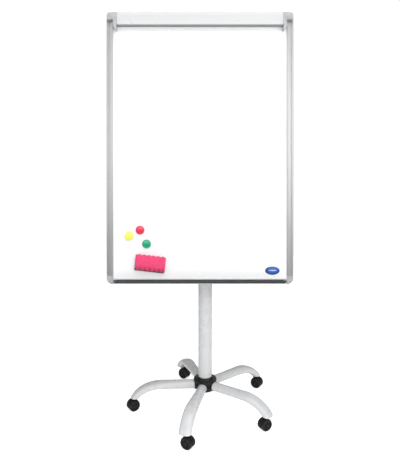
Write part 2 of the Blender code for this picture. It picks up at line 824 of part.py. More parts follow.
def bottom_rail_mesh():
    top = BOARD_BOTTOM + 0.022
    slot_floor = BOARD_BOTTOM + PANEL_EDGE_INSET - 0.0005
    outline = rounded(
        [
            (FRAME_FRONT, BOARD_BOTTOM, 0.0020),
            (FRAME_BACK, BOARD_BOTTOM, 0.0020),
            (FRAME_BACK, top, 0.0008),
            (SLOT_BACK, top, 0),
            (SLOT_BACK, slot_floor, 0),
            (SLOT_FRONT, slot_floor, 0),
            (SLOT_FRONT, top, 0),
            (FRAME_FRONT, top, 0.0008),
        ]
    )
    half = BOARD_WIDTH / 2 - FRAME_FACE - GAP
    return extruded("bottom_rail", [outline], -half, half, "X")


def corner_cap_mesh():
    """The right-hand bottom corner, with a rib across its face."""
    outer = BOARD_WIDTH / 2
    inner = outer - FRAME_FACE
    top = BOARD_BOTTOM + CORNER_CAP_HEIGHT
    outline = rounded(
        [
            (inner, BOARD_BOTTOM, 0.0008),
            (outer, BOARD_BOTTOM, CORNER_CAP_RADIUS),
            (outer, top, 0.0008),
            (inner, top, 0.0008),
        ],
        8,
    )
    front = FRAME_FRONT - 0.0005
    cap = extruded("corner_cap_right", [outline], front, FRAME_BACK, "Y")
    rib_low = Vector((inner + 0.0035, BOARD_BOTTOM + 0.0075))
    rib_high = Vector((outer - 0.0055, BOARD_BOTTOM + 0.0255))
    along = (rib_high - rib_low).normalized()
    across = Vector((-along.y, along.x)) * 0.0014
    rib_outline = [rib_low - across, rib_high - across, rib_high + across, rib_low + across]
    rib = extruded("rib", [rib_outline], front - 0.0008, front + 0.001, "Y")
    steps = [("UNION", rib), ("DIFFERENCE", panel_clearance("clearance"))]
    return combined("corner_cap_right", cap, steps)


def build_frame(easel, board):
    low_z = BOARD_BOTTOM + PANEL_EDGE_INSET
    high_z = BOARD_TOP - 0.0065
    half = PANEL_HALF_WIDTH
    sheet_back = PANEL_FRONT + SHEET_THICKNESS
    sheet = box("writing_sheet", (-half, PANEL_FRONT, low_z), (half, sheet_back, high_z))
    core = box("core_board", (-half, sheet_back + GAP, low_z), (half, PANEL_BACK, high_z))
    easel.add("writing_sheet", sheet, "writing_lacquer", board)
    easel.add("core_board", core, "fibreboard", board)
    profile = side_profile_mesh()
    easel.add("side_profile_left", mirrored_x(profile), "aluminium", board)
    easel.add("side_profile_right", profile, "aluminium", board)
    easel.add("bottom_rail", bottom_rail_mesh(), "aluminium", board)
    corner = corner_cap_mesh()
    easel.add("corner_cap_left", mirrored_x(corner), "cap_plastic", board)
    easel.add("corner_cap_right", corner, "cap_plastic", board)


def pen_tray_mesh():
    """A shallow trough, open at the top, with slanted ends."""
    outline = [
        (-TRAY_HALF_LENGTH + TRAY_SLANT, TRAY_BOTTOM),
        (TRAY_HALF_LENGTH - TRAY_SLANT, TRAY_BOTTOM),
        (TRAY_HALF_LENGTH, TRAY_TOP),
        (-TRAY_HALF_LENGTH, TRAY_TOP),
    ]
    back = FRAME_FRONT - GAP
    body = extruded("pen_tray", [outline], TRAY_FRONT, back, "Y")
    pocket_half = TRAY_HALF_LENGTH - TRAY_SLANT - TRAY_WALL
    pocket = box(
        "pocket",
        (-pocket_half, TRAY_FRONT + TRAY_WALL, TRAY_BOTTOM + TRAY_WALL),
        (pocket_half, back - TRAY_WALL, TRAY_TOP + THROUGH),
    )
    return combined("pen_tray", body, [("DIFFERENCE", pocket)])


# Paper clamp.


def clamp_rail_mesh():
    """The fixed rail over the panel's top edge, with a rib that the pegs slide on."""
    front, inner = SLOT_FRONT - 0.0017, SLOT_FRONT + 0.0002
    top = BOARD_TOP - 0.0030
    under = BOARD_TOP - 0.0060
    bottom = BOARD_TOP - CLAMP_RAIL_HEIGHT
    rib_z = BOARD_TOP - PEG_BELOW_TOP
    lip_back, lip_front = SLOT_BACK + 0.0020, SLOT_BACK
    outline = [
        (front, bottom),
        (inner, bottom),
        (inner, under),
        (lip_front, under),
        (lip_front, BOARD_TOP - 0.030),
        (lip_back, BOARD_TOP - 0.030),
        (lip_back, top),
        (front, top),
        (front, rib_z + 0.0015),
        (front - 0.0016, rib_z + 0.0015),
        (front - 0.0016, rib_z - 0.0015),
        (front, rib_z - 0.0015),
    ]
    return extruded("clamp_rail", [outline], -CLAMP_HALF_LENGTH, CLAMP_HALF_LENGTH, "X")


def clamp_bar_mesh():
    """The clamp's cover, round its pivot: it hooks over the pivots and runs down in front."""
    front, wall = -0.0115, 0.0018
    top, bottom = 0.0055, -0.0415
    outline = rounded(
        [
            (front, bottom, 0.0015),
            (0.0, bottom, 0),
            (0.0, bottom + wall, 0),
            (front + wall, bottom + wall, 0),
            (front + wall, top - 0.002, 0.0042),
            (-0.0053, top - 0.002, 0),
            (-0.0053, -0.0035, 0),
            (-0.0035, -0.0035, 0),
            (-0.0035, top - 0.002, 0),
            (0.0035, top - 0.002, 0),
            (0.0035, -0.0005, 0),
            (0.0053, -0.0005, 0),
            (0.0053, top, 0.0015),
            (front, top, 0.0075),
        ]
    )
    return extruded("clamp_bar", [outline], -CLAMP_HALF_LENGTH, CLAMP_HALF_LENGTH, "X")


def clamp_grip_mesh():
    """The rubber strip under the clamp bar's foot, which presses on the paper."""
    outline = rounded(
        [
            (-0.0085, -0.0443, 0.0006),
            (0.0083, -0.0443, 0.0010),
            (0.0083, -0.0395, 0.0010),
            (0.0030, -0.0395, 0),
            (0.0006, -0.0418, 0),
            (-0.0085, -0.0418, 0),
        ],
        2,
    )
    half = CLAMP_HALF_LENGTH - 0.001
    return extruded("clamp_grip", [outline], -half, half, "X")


def clamp_cap_mesh():
    """The right-hand top corner: a raised face that slopes back at its top, and a pivot."""
    outer = BOARD_WIDTH / 2
    shoulder = BOARD_TOP - CAP_CORNER_HEIGHT
    foot = BOARD_TOP - CAP_HEIGHT
    outline = rounded(
        [
            (CAP_INNER_X, foot, 0.0008),
            (CAP_INNER_X + 0.003, foot, 0),
            (CAP_NOSE_X, BOARD_TOP - CAP_NOSE_HEIGHT, 0.0015),
            (CAP_NOSE_X, shoulder, 0),
            (outer - CAP_INSET, shoulder, 0.0008),
            (outer - CAP_INSET, BOARD_TOP, CAP_CORNER_RADIUS),
            (CAP_INNER_X, BOARD_TOP, 0.0020),
        ],
        6,
    )
    face = extruded("clamp_cap_right", [outline], CAP_FRONT, FRAME_FRONT - GAP, "Y")
    slope = rounded(
        [
            (CAP_FRONT, foot - THROUGH, 0),
            (FRAME_BACK, foot - THROUGH, 0),
            (FRAME_BACK, BOARD_TOP, 0),
            (CAP_SLOPE_START, BOARD_TOP, 0),
            (CAP_FRONT, BOARD_TOP - CAP_SLOPE_DROP, 0.0050),
        ]
    )
    side = extruded("side", [slope], CAP_INNER_X - THROUGH, outer + THROUGH, "X")
    block_outline = rounded(
        [
            (CAP_INNER_X, shoulder, 0),
            (outer, shoulder, 0.0008),
            (outer, BOARD_TOP, CAP_BLOCK_RADIUS),
            (CAP_INNER_X, BOARD_TOP, 0.0020),
        ],
        6,
    )
    block = extruded("block", [block_outline], FRAME_FRONT - 0.0005, FRAME_BACK, "Y")
    at = (0, CLAMP_PIVOT_Y, CLAMP_PIVOT_Z)
    pivot = rod("pivot", "X", at, 0.0025, CAP_INNER_X - 0.008, CAP_INNER_X + 0.002, 16)
    steps = [
        ("INTERSECT", side),
        ("UNION", block),
        ("DIFFERENCE", panel_clearance("clearance")),
        ("UNION", pivot),
    ]
    return combined("clamp_cap_right", face, steps)


def peg_mesh():
    """A peg for punched paper, with a foot grooved for the rail's rib. It points along -Y."""
    back = SLOT_FRONT - 0.0020
    foot = box("peg", (-0.007, back - 0.004, -0.007), (0.007, back, 0.007))
    groove = box("groove", (-0.010, back - 0.0017, -0.0019), (0.010, back + 0.002, 0.0019))
    post = rod("post", "Y", (0, 0, 0), 0.0035, back - 0.0148, back - 0.003, 16)
    head = rod("head", "Y", (0, 0, 0), 0.0052, back - 0.0150, back - 0.0125, 16)
    steps = [("DIFFERENCE", groove), ("UNION", post), ("UNION", head)]
    return combined("peg", foot, steps)


def build_clamp(easel, board):
    easel.add("clamp_rail", clamp_rail_mesh(), "clamp_white", board)
    cap = clamp_cap_mesh()
    easel.add("clamp_cap_left", mirrored_x(cap), "cap_plastic", board)
    easel.add("clamp_cap_right", cap, "cap_plastic", board)
    pivot = easel.empty("clamp_pivot", board, (0, CLAMP_PIVOT_Y, CLAMP_PIVOT_Z))
    easel.add("clamp_bar", clamp_bar_mesh(), "clamp_white", pivot)
    easel.add("clamp_grip", clamp_grip_mesh(), "grip_rubber", pivot)
    peg = peg_mesh()
    for side, x in (("left", -PEG_X), ("right", PEG_X)):
        place = (x, 0, BOARD_TOP - PEG_BELOW_TOP)
        easel.add(f"paper_peg_{side}", peg.copy(), "black_plastic", board, place)


# Magnets and eraser.


def magnet_mesh():
    """A round holding magnet with a domed cap, turned round Z and standing on Z = 0."""
    radius, height = MAGNET_RADIUS, MAGNET_THICKNESS
    profile = [
        (0.0, height),
        (radius * 0.45, height - 0.0003),
        (radius * 0.78, height - 0.0013),
        (radius * 0.95, height - 0.0032),
        (radius, height - 0.0055),
        (radius, 0.0),
        (0.0, 0.0),
    ]
    return turned("magnet", profile, 20, closed=False)


def eraser_outline():
    """A rounded block whose long edges are scalloped."""
    pieces, end, chamfer = 6, 0.003, 0.006
    half_length, half_width = ERASER_LENGTH / 2, ERASER_WIDTH / 2
    edge = []
    for i in range(ERASER_SCALLOPS * pieces + 1):
        along = i / (ERASER_SCALLOPS * pieces)
        bulge = abs(math.sin(math.pi * ERASER_SCALLOPS * along))
        x = (half_length - end) * (2 * along - 1)
        edge.append((x, half_width - ERASER_SCALLOP_DEPTH * (1 - bulge)))
    outline = [(x, -y) for x, y in edge]
    outline += [(half_length, -half_width + chamfer), (half_length, half_width - chamfer)]
    outline += list(reversed(edge))
    outline += [(-half_length, half_width - chamfer), (-half_length, -half_width + chamfer)]
    return outline


def build_loose_pieces(easel, board):
    magnet = magnet_mesh()
    for name, (x, height) in MAGNET_PLACES.items():
        place = (x, PANEL_FRONT - GAP, BOARD_BOTTOM + height)
        easel.add(name, magnet.copy(), name, board, place, (math.pi / 2, 0, 0))
    eraser = extruded("eraser", [eraser_outline()], -ERASER_THICKNESS, 0, "Y")
    x, height = ERASER_PLACE
    place = (x, PANEL_FRONT - GAP, BOARD_BOTTOM + height)
    easel.add("eraser", eraser, "eraser_foam", board, place, (0, ERASER_TURN, 0))


def main():
    clear_scene()
    easel = Easel()
    column = easel.empty("column_axis", None, (COLUMN_X, COLUMN_Y, 0))
    build_base(easel, column)
    build_casters(easel, column)
    build_column(easel, column)
    board = easel.empty("board_axis", None, (0, COLUMN_Y, HINGE_Z), (-BOARD_LEAN, 0, 0))
    hinge = easel.empty("hinge_axis", board, (COLUMN_X, 0, 0))
    build_hinge(easel, board, hinge)
    build_frame(easel, board)
    easel.add("pen_tray", pen_tray_mesh(), "tray_plastic", board)
    build_clamp(easel, board)
    build_loose_pieces(easel, board)


main()
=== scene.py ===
"""Looks of the mobile flipchart easel: finer shapes, finishes, floor, light and camera.

Metres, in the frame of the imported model. Pieces of the board are modelled in the board's own
frame (X right, Y back through the board, Z up along it, from the hinge axis), and pieces of a
caster in the caster's own frame (stem on Z, wheels trailing along +X).
"""

import math

import bmesh
import bpy
from mathutils import Matrix, Vector


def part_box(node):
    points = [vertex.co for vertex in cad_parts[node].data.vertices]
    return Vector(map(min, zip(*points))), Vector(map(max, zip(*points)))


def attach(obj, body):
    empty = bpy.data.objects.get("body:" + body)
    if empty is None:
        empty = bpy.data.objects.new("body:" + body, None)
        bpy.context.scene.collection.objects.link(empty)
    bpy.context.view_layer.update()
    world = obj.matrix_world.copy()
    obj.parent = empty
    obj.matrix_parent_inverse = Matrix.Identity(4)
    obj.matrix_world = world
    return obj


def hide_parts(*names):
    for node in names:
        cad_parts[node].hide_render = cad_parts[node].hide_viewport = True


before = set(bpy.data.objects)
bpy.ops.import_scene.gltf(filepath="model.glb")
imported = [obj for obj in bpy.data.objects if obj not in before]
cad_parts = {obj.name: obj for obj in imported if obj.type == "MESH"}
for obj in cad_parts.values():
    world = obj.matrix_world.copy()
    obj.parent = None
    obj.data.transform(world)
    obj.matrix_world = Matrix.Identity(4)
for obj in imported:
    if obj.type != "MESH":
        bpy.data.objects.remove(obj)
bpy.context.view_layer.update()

GAP = 0.0003

# Column.
low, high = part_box("lower_tube")
COLUMN = Matrix.Translation(((low.x + high.x) / 2, (low.y + high.y) / 2, 0))
LOWER_TUBE_RADIUS = 0.028
LOWER_TUBE_WALL = 0.0016
LOWER_TUBE_TOP = 0.536
UPPER_TUBE_RADIUS = 0.025
UPPER_TUBE_WALL = 0.0015
UPPER_TUBE_BOTTOM = 0.150
COLLAR_HEIGHT = 0.038
COLLAR_SLEEVE = 0.036
KNOB_Z = LOWER_TUBE_TOP + 0.019

# Tilt hinge and the board's frame.
HINGE_Z = 0.940
BOARD_LEAN = math.radians(12.2)
HEAD_TOP = HINGE_Z - 0.0335
LUG_HALF_WIDTH = 0.015
LUG_RADIUS = 0.016
EAR_THICKNESS = 0.003
EAR_RADIUS = 0.018
BOLT_RADIUS = 0.004
BOLT_HOLE_RADIUS = 0.0044
EAR_INSIDE = LUG_HALF_WIDTH + 0.0015
EAR_OUTSIDE = EAR_INSIDE + EAR_THICKNESS
BOARD = Matrix.Translation((0, COLUMN.translation.y, HINGE_Z)) @ Matrix.Rotation(
    -BOARD_LEAN, 4, "X"
)
HINGE = BOARD @ Matrix.Translation((COLUMN.translation.x, 0, 0))

# Base.
HUB_LIP_TOP = 0.1455
HUB_TOP = 0.1345
HUB_BOTTOM = 0.086
HUB_FLANGE_RADIUS = 0.0472
HUB_BODY_RADIUS = 0.0375
HUB_SLEEVE_RADIUS = 0.0212
HUB_SLEEVE_END = 0.0440
HUB_FLOOR = 0.005
LEG_COUNT = 5
FIRST_LEG_ANGLE = math.radians(254.8)
LEG_Z = 0.109
LEG_START = 0.0305
LEG_BEND_START = 0.186
LEG_BEND_RADIUS = 0.136
LEG_END_TURN = math.radians(46)
LEG_END_Z = 0.0565
LEG_WALL = 0.0018
LEG_ROUND_RADIUS = 0.0185
LEG_SOCKET_RADIUS = 0.0085
LEG_BORE_RADIUS = 0.0060
LEG_SIDES = 48
LEG_STATIONS = 44
STEM_CIRCLE_RADIUS = 0.290

# Casters.
WHEEL_RADIUS = 0.0235
WHEEL_WIDTH = 0.0135
WHEEL_START = 0.0040
WEB_HALF = 0.0037
CASTER_TRAIL = 0.012
HOOD_TOP = 0.0488
STEM_TOP = 0.0700
STEM_BOTTOM = 0.0345
STEM_TIP_RADIUS = 0.0025
STEM_RADIUS = 0.0054
STEM_NECK_RADIUS = 0.0049
STEM_COLLAR_RADIUS = 0.0085
HOOD_BOSS_RADIUS = 0.0092
WHEEL_RIBS = 6
CASTER_HEADINGS = {
    "front": math.radians(-32),
    "left": math.radians(-146),
    "rear_left": math.radians(-36),
    "rear_right": math.radians(-34),
    "right": math.radians(-148),
}

# Board, in its own frame.
HALF_WIDTH = 0.350
BOARD_BOTTOM = -0.3735
BOARD_TOP = 0.645
FRAME_FRONT = -0.0625
FRAME_BACK = -0.0425
FRAME_FACE = 0.025
PANEL_FRONT = -0.0590
PANEL_BACK = -0.0490
PANEL_HALF_WIDTH = 0.338
SLOT_FRONT = -0.0595
SLOT_BACK = -0.0485
SLOT_SIDE = 0.3385
CORNER_CAP_HEIGHT = 0.031
CORNER_CAP_RADIUS = 0.022
CROSSBAR_BACK = -0.0220

# Paper clamp.
CLAMP_PIVOT = Vector((0, -0.0700, BOARD_TOP - 0.0115))
CLAMP_HALF_LENGTH = 0.3095
CLAMP_TRIM = 0.0075
CAP_INNER_X = 0.3100
CAP_NOSE_X = 0.3230
CAP_NOSE_HEIGHT = 0.0590
CAP_HEIGHT = 0.0728
CAP_FRONT = -0.0830
CAP_INSET = 0.0035
CAP_SLOPE_START = -0.0610
CAP_SLOPE_DROP = 0.0100
CAP_CORNER_HEIGHT = 0.0345
CAP_CORNER_RADIUS = 0.0225
CAP_BLOCK_RADIUS = 0.0255
CLAMP_RAIL_HEIGHT = 0.0682
PEG_X = 0.140
PEG_BELOW_TOP = 0.025

# Pen tray.
TRAY_HALF_LENGTH = 0.3205
TRAY_FRONT = -0.1050
TRAY_BOTTOM = BOARD_BOTTOM + 0.0065
TRAY_TOP = BOARD_BOTTOM + 0.0162
TRAY_WALL = 0.0020
TRAY_SLANT = 0.009

# Magnets, eraser and badge: X on the board, height above the board's bottom edge.
MAGNET_RADIUS = 0.0166
MAGNET_THICKNESS = 0.0080
MAGNET_PLACES = {
    "magnet_red": (-0.2247, 0.2019),
    "magnet_yellow": (-0.2659, 0.1798),
    "magnet_green": (-0.2004, 0.1502),
}
ERASER_PLACE = (-0.1865, 0.0770)
ERASER_LENGTH = 0.114
ERASER_WIDTH = 0.0625
ERASER_THICKNESS = 0.020
ERASER_TURN = math.radians(6.4)
ERASER_SCALLOPS = 6
ERASER_SCALLOP_DEPTH = 0.0052
BADGE_PLACE = (0.2712, 0.0502)
BADGE_HALF = (0.0270, 0.0155)

SMOOTH_ANGLE = math.radians(35)

pieces = bpy.data.collections.new("easel_looks")
bpy.context.scene.collection.children.link(pieces)


# Finishes. Every number that varies over a surface comes from noise in the piece's own space.


class Finish:
    """A node material round one Principled shader."""

    def __init__(self, name):
        self.material = bpy.data.materials.new(name)
        self.material.use_nodes = True
        self.nodes = self.material.node_tree.nodes
        self.links = self.material.node_tree.links
        self.shader = self.nodes["Principled BSDF"]
        self.place = self.nodes.new("ShaderNodeTexCoord").outputs["Object"]

    def set(self, **values):
        for name, value in values.items():
            self.shader.inputs[name.replace("_", " ")].default_value = value

    def noise(self, scale, detail=3.0, roughness=0.5, stretch=(1, 1, 1)):
        mapping = self.nodes.new("ShaderNodeMapping")
        mapping.inputs["Scale"].default_value = [scale * axis for axis in stretch]
        self.links.new(self.place, mapping.inputs["Vector"])
        noise = self.nodes.new("ShaderNodeTexNoise")
        noise.inputs["Scale"].default_value = 1.0
        noise.inputs["Detail"].default_value = detail
        noise.inputs["Roughness"].default_value = roughness
        self.links.new(mapping.outputs["Vector"], noise.inputs["Vector"])
        return noise.outputs["Fac"]

    def remap(self, value, from_low, from_high, to_low, to_high):
        node = self.nodes.new("ShaderNodeMapRange")
        ends = (from_low, from_high, to_low, to_high)
        for name, end in zip(("From Min", "From Max", "To Min", "To Max"), ends):
            node.inputs[name].default_value = end
        self.links.new(value, node.inputs["Value"])
        return node.outputs["Result"]

    def product(self, first, second):
        node = self.nodes.new("ShaderNodeMath")
        node.operation = "MULTIPLY"
        self.links.new(first, node.inputs[0])
        self.links.new(second, node.inputs[1])
        return node.outputs[0]

    def total(self, first, second):
        node = self.nodes.new("ShaderNodeMath")
        node.operation = "ADD"
        self.links.new(first, node.inputs[0])
        self.links.new(second, node.inputs[1])
        return node.outputs[0]

    def mixed(self, factor, first, second):
        """Between two colours, each a tuple or a socket."""
        node = self.nodes.new("ShaderNodeMix")
        node.data_type = "RGBA"
        self.links.new(factor, node.inputs["Factor"])
        for socket, colour in ((node.inputs[6], first), (node.inputs[7], second)):
            if isinstance(colour, tuple):
                socket.default_value = (*colour, 1.0)
            else:
                self.links.new(colour, socket)
        return node.outputs[2]

    def edges(self, start=0.53, end=0.60):
        """From 0 on flat faces to 1 on worn outer edges."""
        pointiness = self.nodes.new("ShaderNodeNewGeometry").outputs["Pointiness"]
        return self.remap(pointiness, start, end, 0.0, 1.0)

    def bump(self, *layers):
        """Stacked bumps, each a height, its distance and its strength."""
        normal = None
        for height, distance, strength in layers:
            node = self.nodes.new("ShaderNodeBump")
            node.inputs["Distance"].default_value = distance
            node.inputs["Strength"].default_value = strength
            self.links.new(height, node.inputs["Height"])
            if normal is not None:
                self.links.new(normal, node.inputs["Normal"])
            normal = node.outputs["Normal"]
        self.links.new(normal, self.shader.inputs["Normal"])

    def colour(self, socket):
        self.links.new(socket, self.shader.inputs["Base Color"])

    def roughness(self, socket):
        self.links.new(socket, self.shader.inputs["Roughness"])


def shade(colour, factor):
    return tuple(channel * factor for channel in colour)


def painted(name, colour, gloss=0.26, peel=0.35):
    """Powder coat: fine orange peel under a soft clear gloss, and a little dull dust."""
    finish = Finish(name)
    patches = finish.remap(finish.noise(9, 4), 0.35, 0.65, 0.0, 1.0)
    speck = finish.remap(finish.noise(420, 2), 0.62, 0.75, 0.0, 0.35)
    base = finish.mixed(patches, shade(colour, 0.985), colour)
    base = finish.mixed(speck, base, shade(colour, 0.90))
    finish.colour(finish.mixed(finish.edges(0.56, 0.66), base, shade(colour, 1.03)))
    finish.roughness(finish.remap(finish.noise(26, 3), 0.3, 0.7, gloss - 0.04, gloss + 0.09))
    peel_height = finish.noise(520, 2, 0.4)
    finish.bump((peel_height, 0.00012, peel), (finish.noise(60, 2), 0.0004, 0.12))
    finish.set(Coat_Weight=0.45, Coat_Roughness=0.12, Specular_IOR_Level=0.5)
    return finish.material


def moulded(name, colour, roughness=0.45, grain=1400, depth=0.00006, worn=1.8, specular=0.5):
    """Moulded plastic: a fine eroded grain, cloudy gloss and paler edges."""
    finish = Finish(name)
    cloud = finish.remap(finish.noise(30, 4), 0.35, 0.65, 0.0, 1.0)
    base = finish.mixed(cloud, shade(colour, 0.88), shade(colour, 1.08))
    scuff = finish.remap(finish.noise(140, 5, 0.6, (1, 1, 0.25)), 0.60, 0.72, 0.0, 0.5)
    base = finish.mixed(scuff, base, shade(colour, worn))
    finish.colour(finish.mixed(finish.edges(), base, shade(colour, worn)))
    spread = finish.remap(finish.noise(55, 3), 0.3, 0.7, roughness - 0.07, roughness + 0.10)
    finish.roughness(spread)
    fine = finish.noise(grain, 2, 0.6)
    finish.bump((fine, depth, 0.5), (finish.noise(110, 2), 0.0002, 0.10))
    finish.set(Specular_IOR_Level=specular)
    return finish.material


def brushed(name, colour, roughness=0.30, along="Z", anisotropy=0.4):
    """Anodised metal: lines drawn along one axis, with cloudy gloss and small handling marks."""
    finish = Finish(name)
    stretch = [1.0, 1.0, 1.0]
    stretch["XYZ".index(along)] = 0.004
    lines = finish.noise(1500, 4, 0.65, stretch)
    broad = finish.noise(260, 3, 0.5, stretch)
    tone = finish.remap(lines, 0.30, 0.70, 0.0, 1.0)
    base = finish.mixed(tone, shade(colour, 0.90), shade(colour, 1.06))
    marks = finish.remap(finish.noise(48, 6, 0.65), 0.64, 0.74, 0.0, 0.30)
    finish.colour(finish.mixed(marks, base, shade(colour, 0.82)))
    spread = finish.remap(broad, 0.3, 0.7, roughness - 0.05, roughness + 0.07)
    finish.roughness(finish.total(spread, finish.remap(marks, 0, 1, 0.0, 0.15)))
    finish.bump((lines, 0.00003, 0.35), (finish.noise(18, 2), 0.0006, 0.05))
    finish.set(Metallic=1.0, Anisotropic=anisotropy)
    return finish.material


def plated(name, colour=(0.62, 0.63, 0.64), roughness=0.26):
    """Zinc plate: fine crystals, a faint warm and cool drift, and duller recesses."""
    finish = Finish(name)
    drift = finish.remap(finish.noise(70, 3), 0.35, 0.65, 0.0, 1.0)
    base = finish.mixed(drift, shade(colour, 0.90), (0.66, 0.64, 0.58))
    finish.colour(finish.mixed(finish.edges(), base, shade(colour, 1.25)))
    finish.roughness(finish.remap(finish.noise(300, 4), 0.3, 0.7, roughness, roughness + 0.16))
    finish.bump((finish.noise(1600, 2), 0.00003, 0.4), (finish.noise(210, 2), 0.00008, 0.2))
    finish.set(Metallic=1.0)
    return finish.material


def lacquered(name):
    """The writing surface: hard white lacquer with a faint ripple and wiped ink haze."""
    finish = Finish(name)
    haze = finish.remap(finish.noise(5, 5, 0.6, (1, 1, 0.45)), 0.45, 0.75, 0.0, 1.0)
    wipes = finish.remap(finish.noise(14, 4, 0.6, (0.2, 1, 1.4)), 0.50, 0.80, 0.0, 0.6)
    base = finish.mixed(haze, (0.93, 0.935, 0.94), (0.905, 0.915, 0.925))
    finish.colour(finish.mixed(wipes, base, (0.90, 0.905, 0.91)))
    finish.roughness(finish.remap(wipes, 0.0, 0.6, 0.10, 0.20))
    finish.bump((finish.noise(35, 2), 0.0002, 0.06), (finish.noise(700, 2), 0.00003, 0.15))
    finish.set(Coat_Weight=0.6, Coat_Roughness=0.05)
    return finish.material


def pressed_fibre(name):
    """The board's core at its edges: brown pressed fibre."""
    finish = Finish(name)
    fibre = finish.noise(900, 6, 0.7, (1, 0.25, 1))
    tone = finish.remap(fibre, 0.3, 0.7, 0.0, 1.0)
    finish.colour(finish.mixed(tone, (0.19, 0.12, 0.07), (0.36, 0.25, 0.15)))
    finish.roughness(finish.remap(fibre, 0.3, 0.7, 0.80, 0.97))
    finish.bump((fibre, 0.0003, 0.6))
    return finish.material


def backing(name):
    """Grey coated foil on the board's back, with a faint embossed weave."""
    finish = Finish(name)
    across = finish.noise(700, 2, 0.5, (1, 1, 0.06))
    down = finish.noise(700, 2, 0.5, (0.06, 1, 1))
    weave = finish.product(across, down)
    cloud = finish.remap(finish.noise(7, 5), 0.35, 0.65, 0.0, 1.0)
    finish.colour(finish.mixed(cloud, (0.47, 0.48, 0.49), (0.56, 0.565, 0.57)))
    finish.roughness(finish.remap(weave, 0.15, 0.35, 0.42, 0.60))
    finish.bump((weave, 0.0001, 0.6), (finish.noise(12, 3), 0.0008, 0.06))
    return finish.material


def foamed(name, colour, darker):
    """Closed-cell foam: a skin of small pits with painted shade in them, rubbed paler on its edges.
    """
    finish = Finish(name)
    cell = finish.nodes.new("ShaderNodeTexVoronoi")
    cell.inputs["Scale"].default_value = 900
    finish.links.new(finish.place, cell.inputs["Vector"])
    pits = finish.remap(cell.outputs["Distance"], 0.0, 0.5, 0.0, 1.0)
    cloud = finish.remap(finish.noise(60, 4), 0.35, 0.65, 0.0, 1.0)
    base = finish.mixed(cloud, darker, colour)
    # Painted shade: the pits are darker towards their bottoms.
    base = finish.mixed(pits, shade(darker, 0.85), base)
    finish.colour(finish.mixed(finish.edges(0.52, 0.62), base, shade(colour, 1.15)))
    finish.roughness(finish.remap(pits, 0, 1, 0.85, 0.62))
    finish.bump((pits, 0.00025, 0.45), (finish.noise(90, 3), 0.0006, 0.25))
    finish.set(Sheen_Weight=0.15, Sheen_Roughness=0.6)
    return finish.material


def felted(name, colour):
    """Wool felt: matted fibres."""
    finish = Finish(name)
    fibre = finish.noise(1800, 8, 0.75, (1, 1, 0.3))
    tone = finish.remap(fibre, 0.3, 0.7, 0.0, 1.0)
    finish.colour(finish.mixed(tone, shade(colour, 0.5), shade(colour, 1.6)))
    finish.roughness(finish.remap(fibre, 0.3, 0.7, 0.85, 1.0))
    finish.bump((fibre, 0.0005, 0.8))
    finish.set(Sheen_Weight=0.5, Sheen_Roughness=0.7)
    return finish.material


def enamelled(name, colour, roughness=0.12):
    """Glossy moulded cap: deep colour, faint flow marks and hairline scratches."""
    finish = Finish(name)
    flow = finish.remap(finish.noise(160, 3, 0.5, (1, 0.4, 1)), 0.35, 0.65, 0.0, 1.0)
    finish.colour(finish.mixed(flow, shade(colour, 0.93), shade(colour, 1.04)))
    scratch = finish.remap(finish.noise(900, 3, 0.6, (1, 0.03, 1)), 0.66, 0.74, 0.0, 0.25)
    finish.roughness(finish.total(scratch, finish.remap(flow, 0, 1, roughness, roughness + 0.05)))
    finish.bump((finish.noise(300, 2), 0.0001, 0.12))
    finish.set(Coat_Weight=0.7, Coat_Roughness=0.06)
    return finish.material


def floored(name):
    """A plain pale floor."""
    finish = Finish(name)
    tone = finish.remap(finish.noise(2.5, 3), 0.3, 0.7, 0.0, 1.0)
    finish.colour(finish.mixed(tone, (0.88, 0.88, 0.88), (0.90, 0.90, 0.90)))
    finish.roughness(finish.remap(tone, 0, 1, 0.70, 0.78))
    ray = finish.nodes.new("ShaderNodeLightPath").outputs["Is Camera Ray"]
    glow = finish.remap(ray, 0.0, 1.0, FLOOR_GLOW_ON_OBJECT, FLOOR_GLOW_SEEN)
    finish.links.new(glow, finish.shader.inputs["Emission Strength"])
    finish.set(Emission_Color=(1, 1, 1, 1))
    return finish.material


# The floor glows to look white to the camera, and less as a light on the object.
FLOOR_GLOW_SEEN = 0.64
FLOOR_GLOW_ON_OBJECT = 0.20

WHITE = (0.62, 0.625, 0.63)
BLACK = (0.009, 0.009, 0.0095)

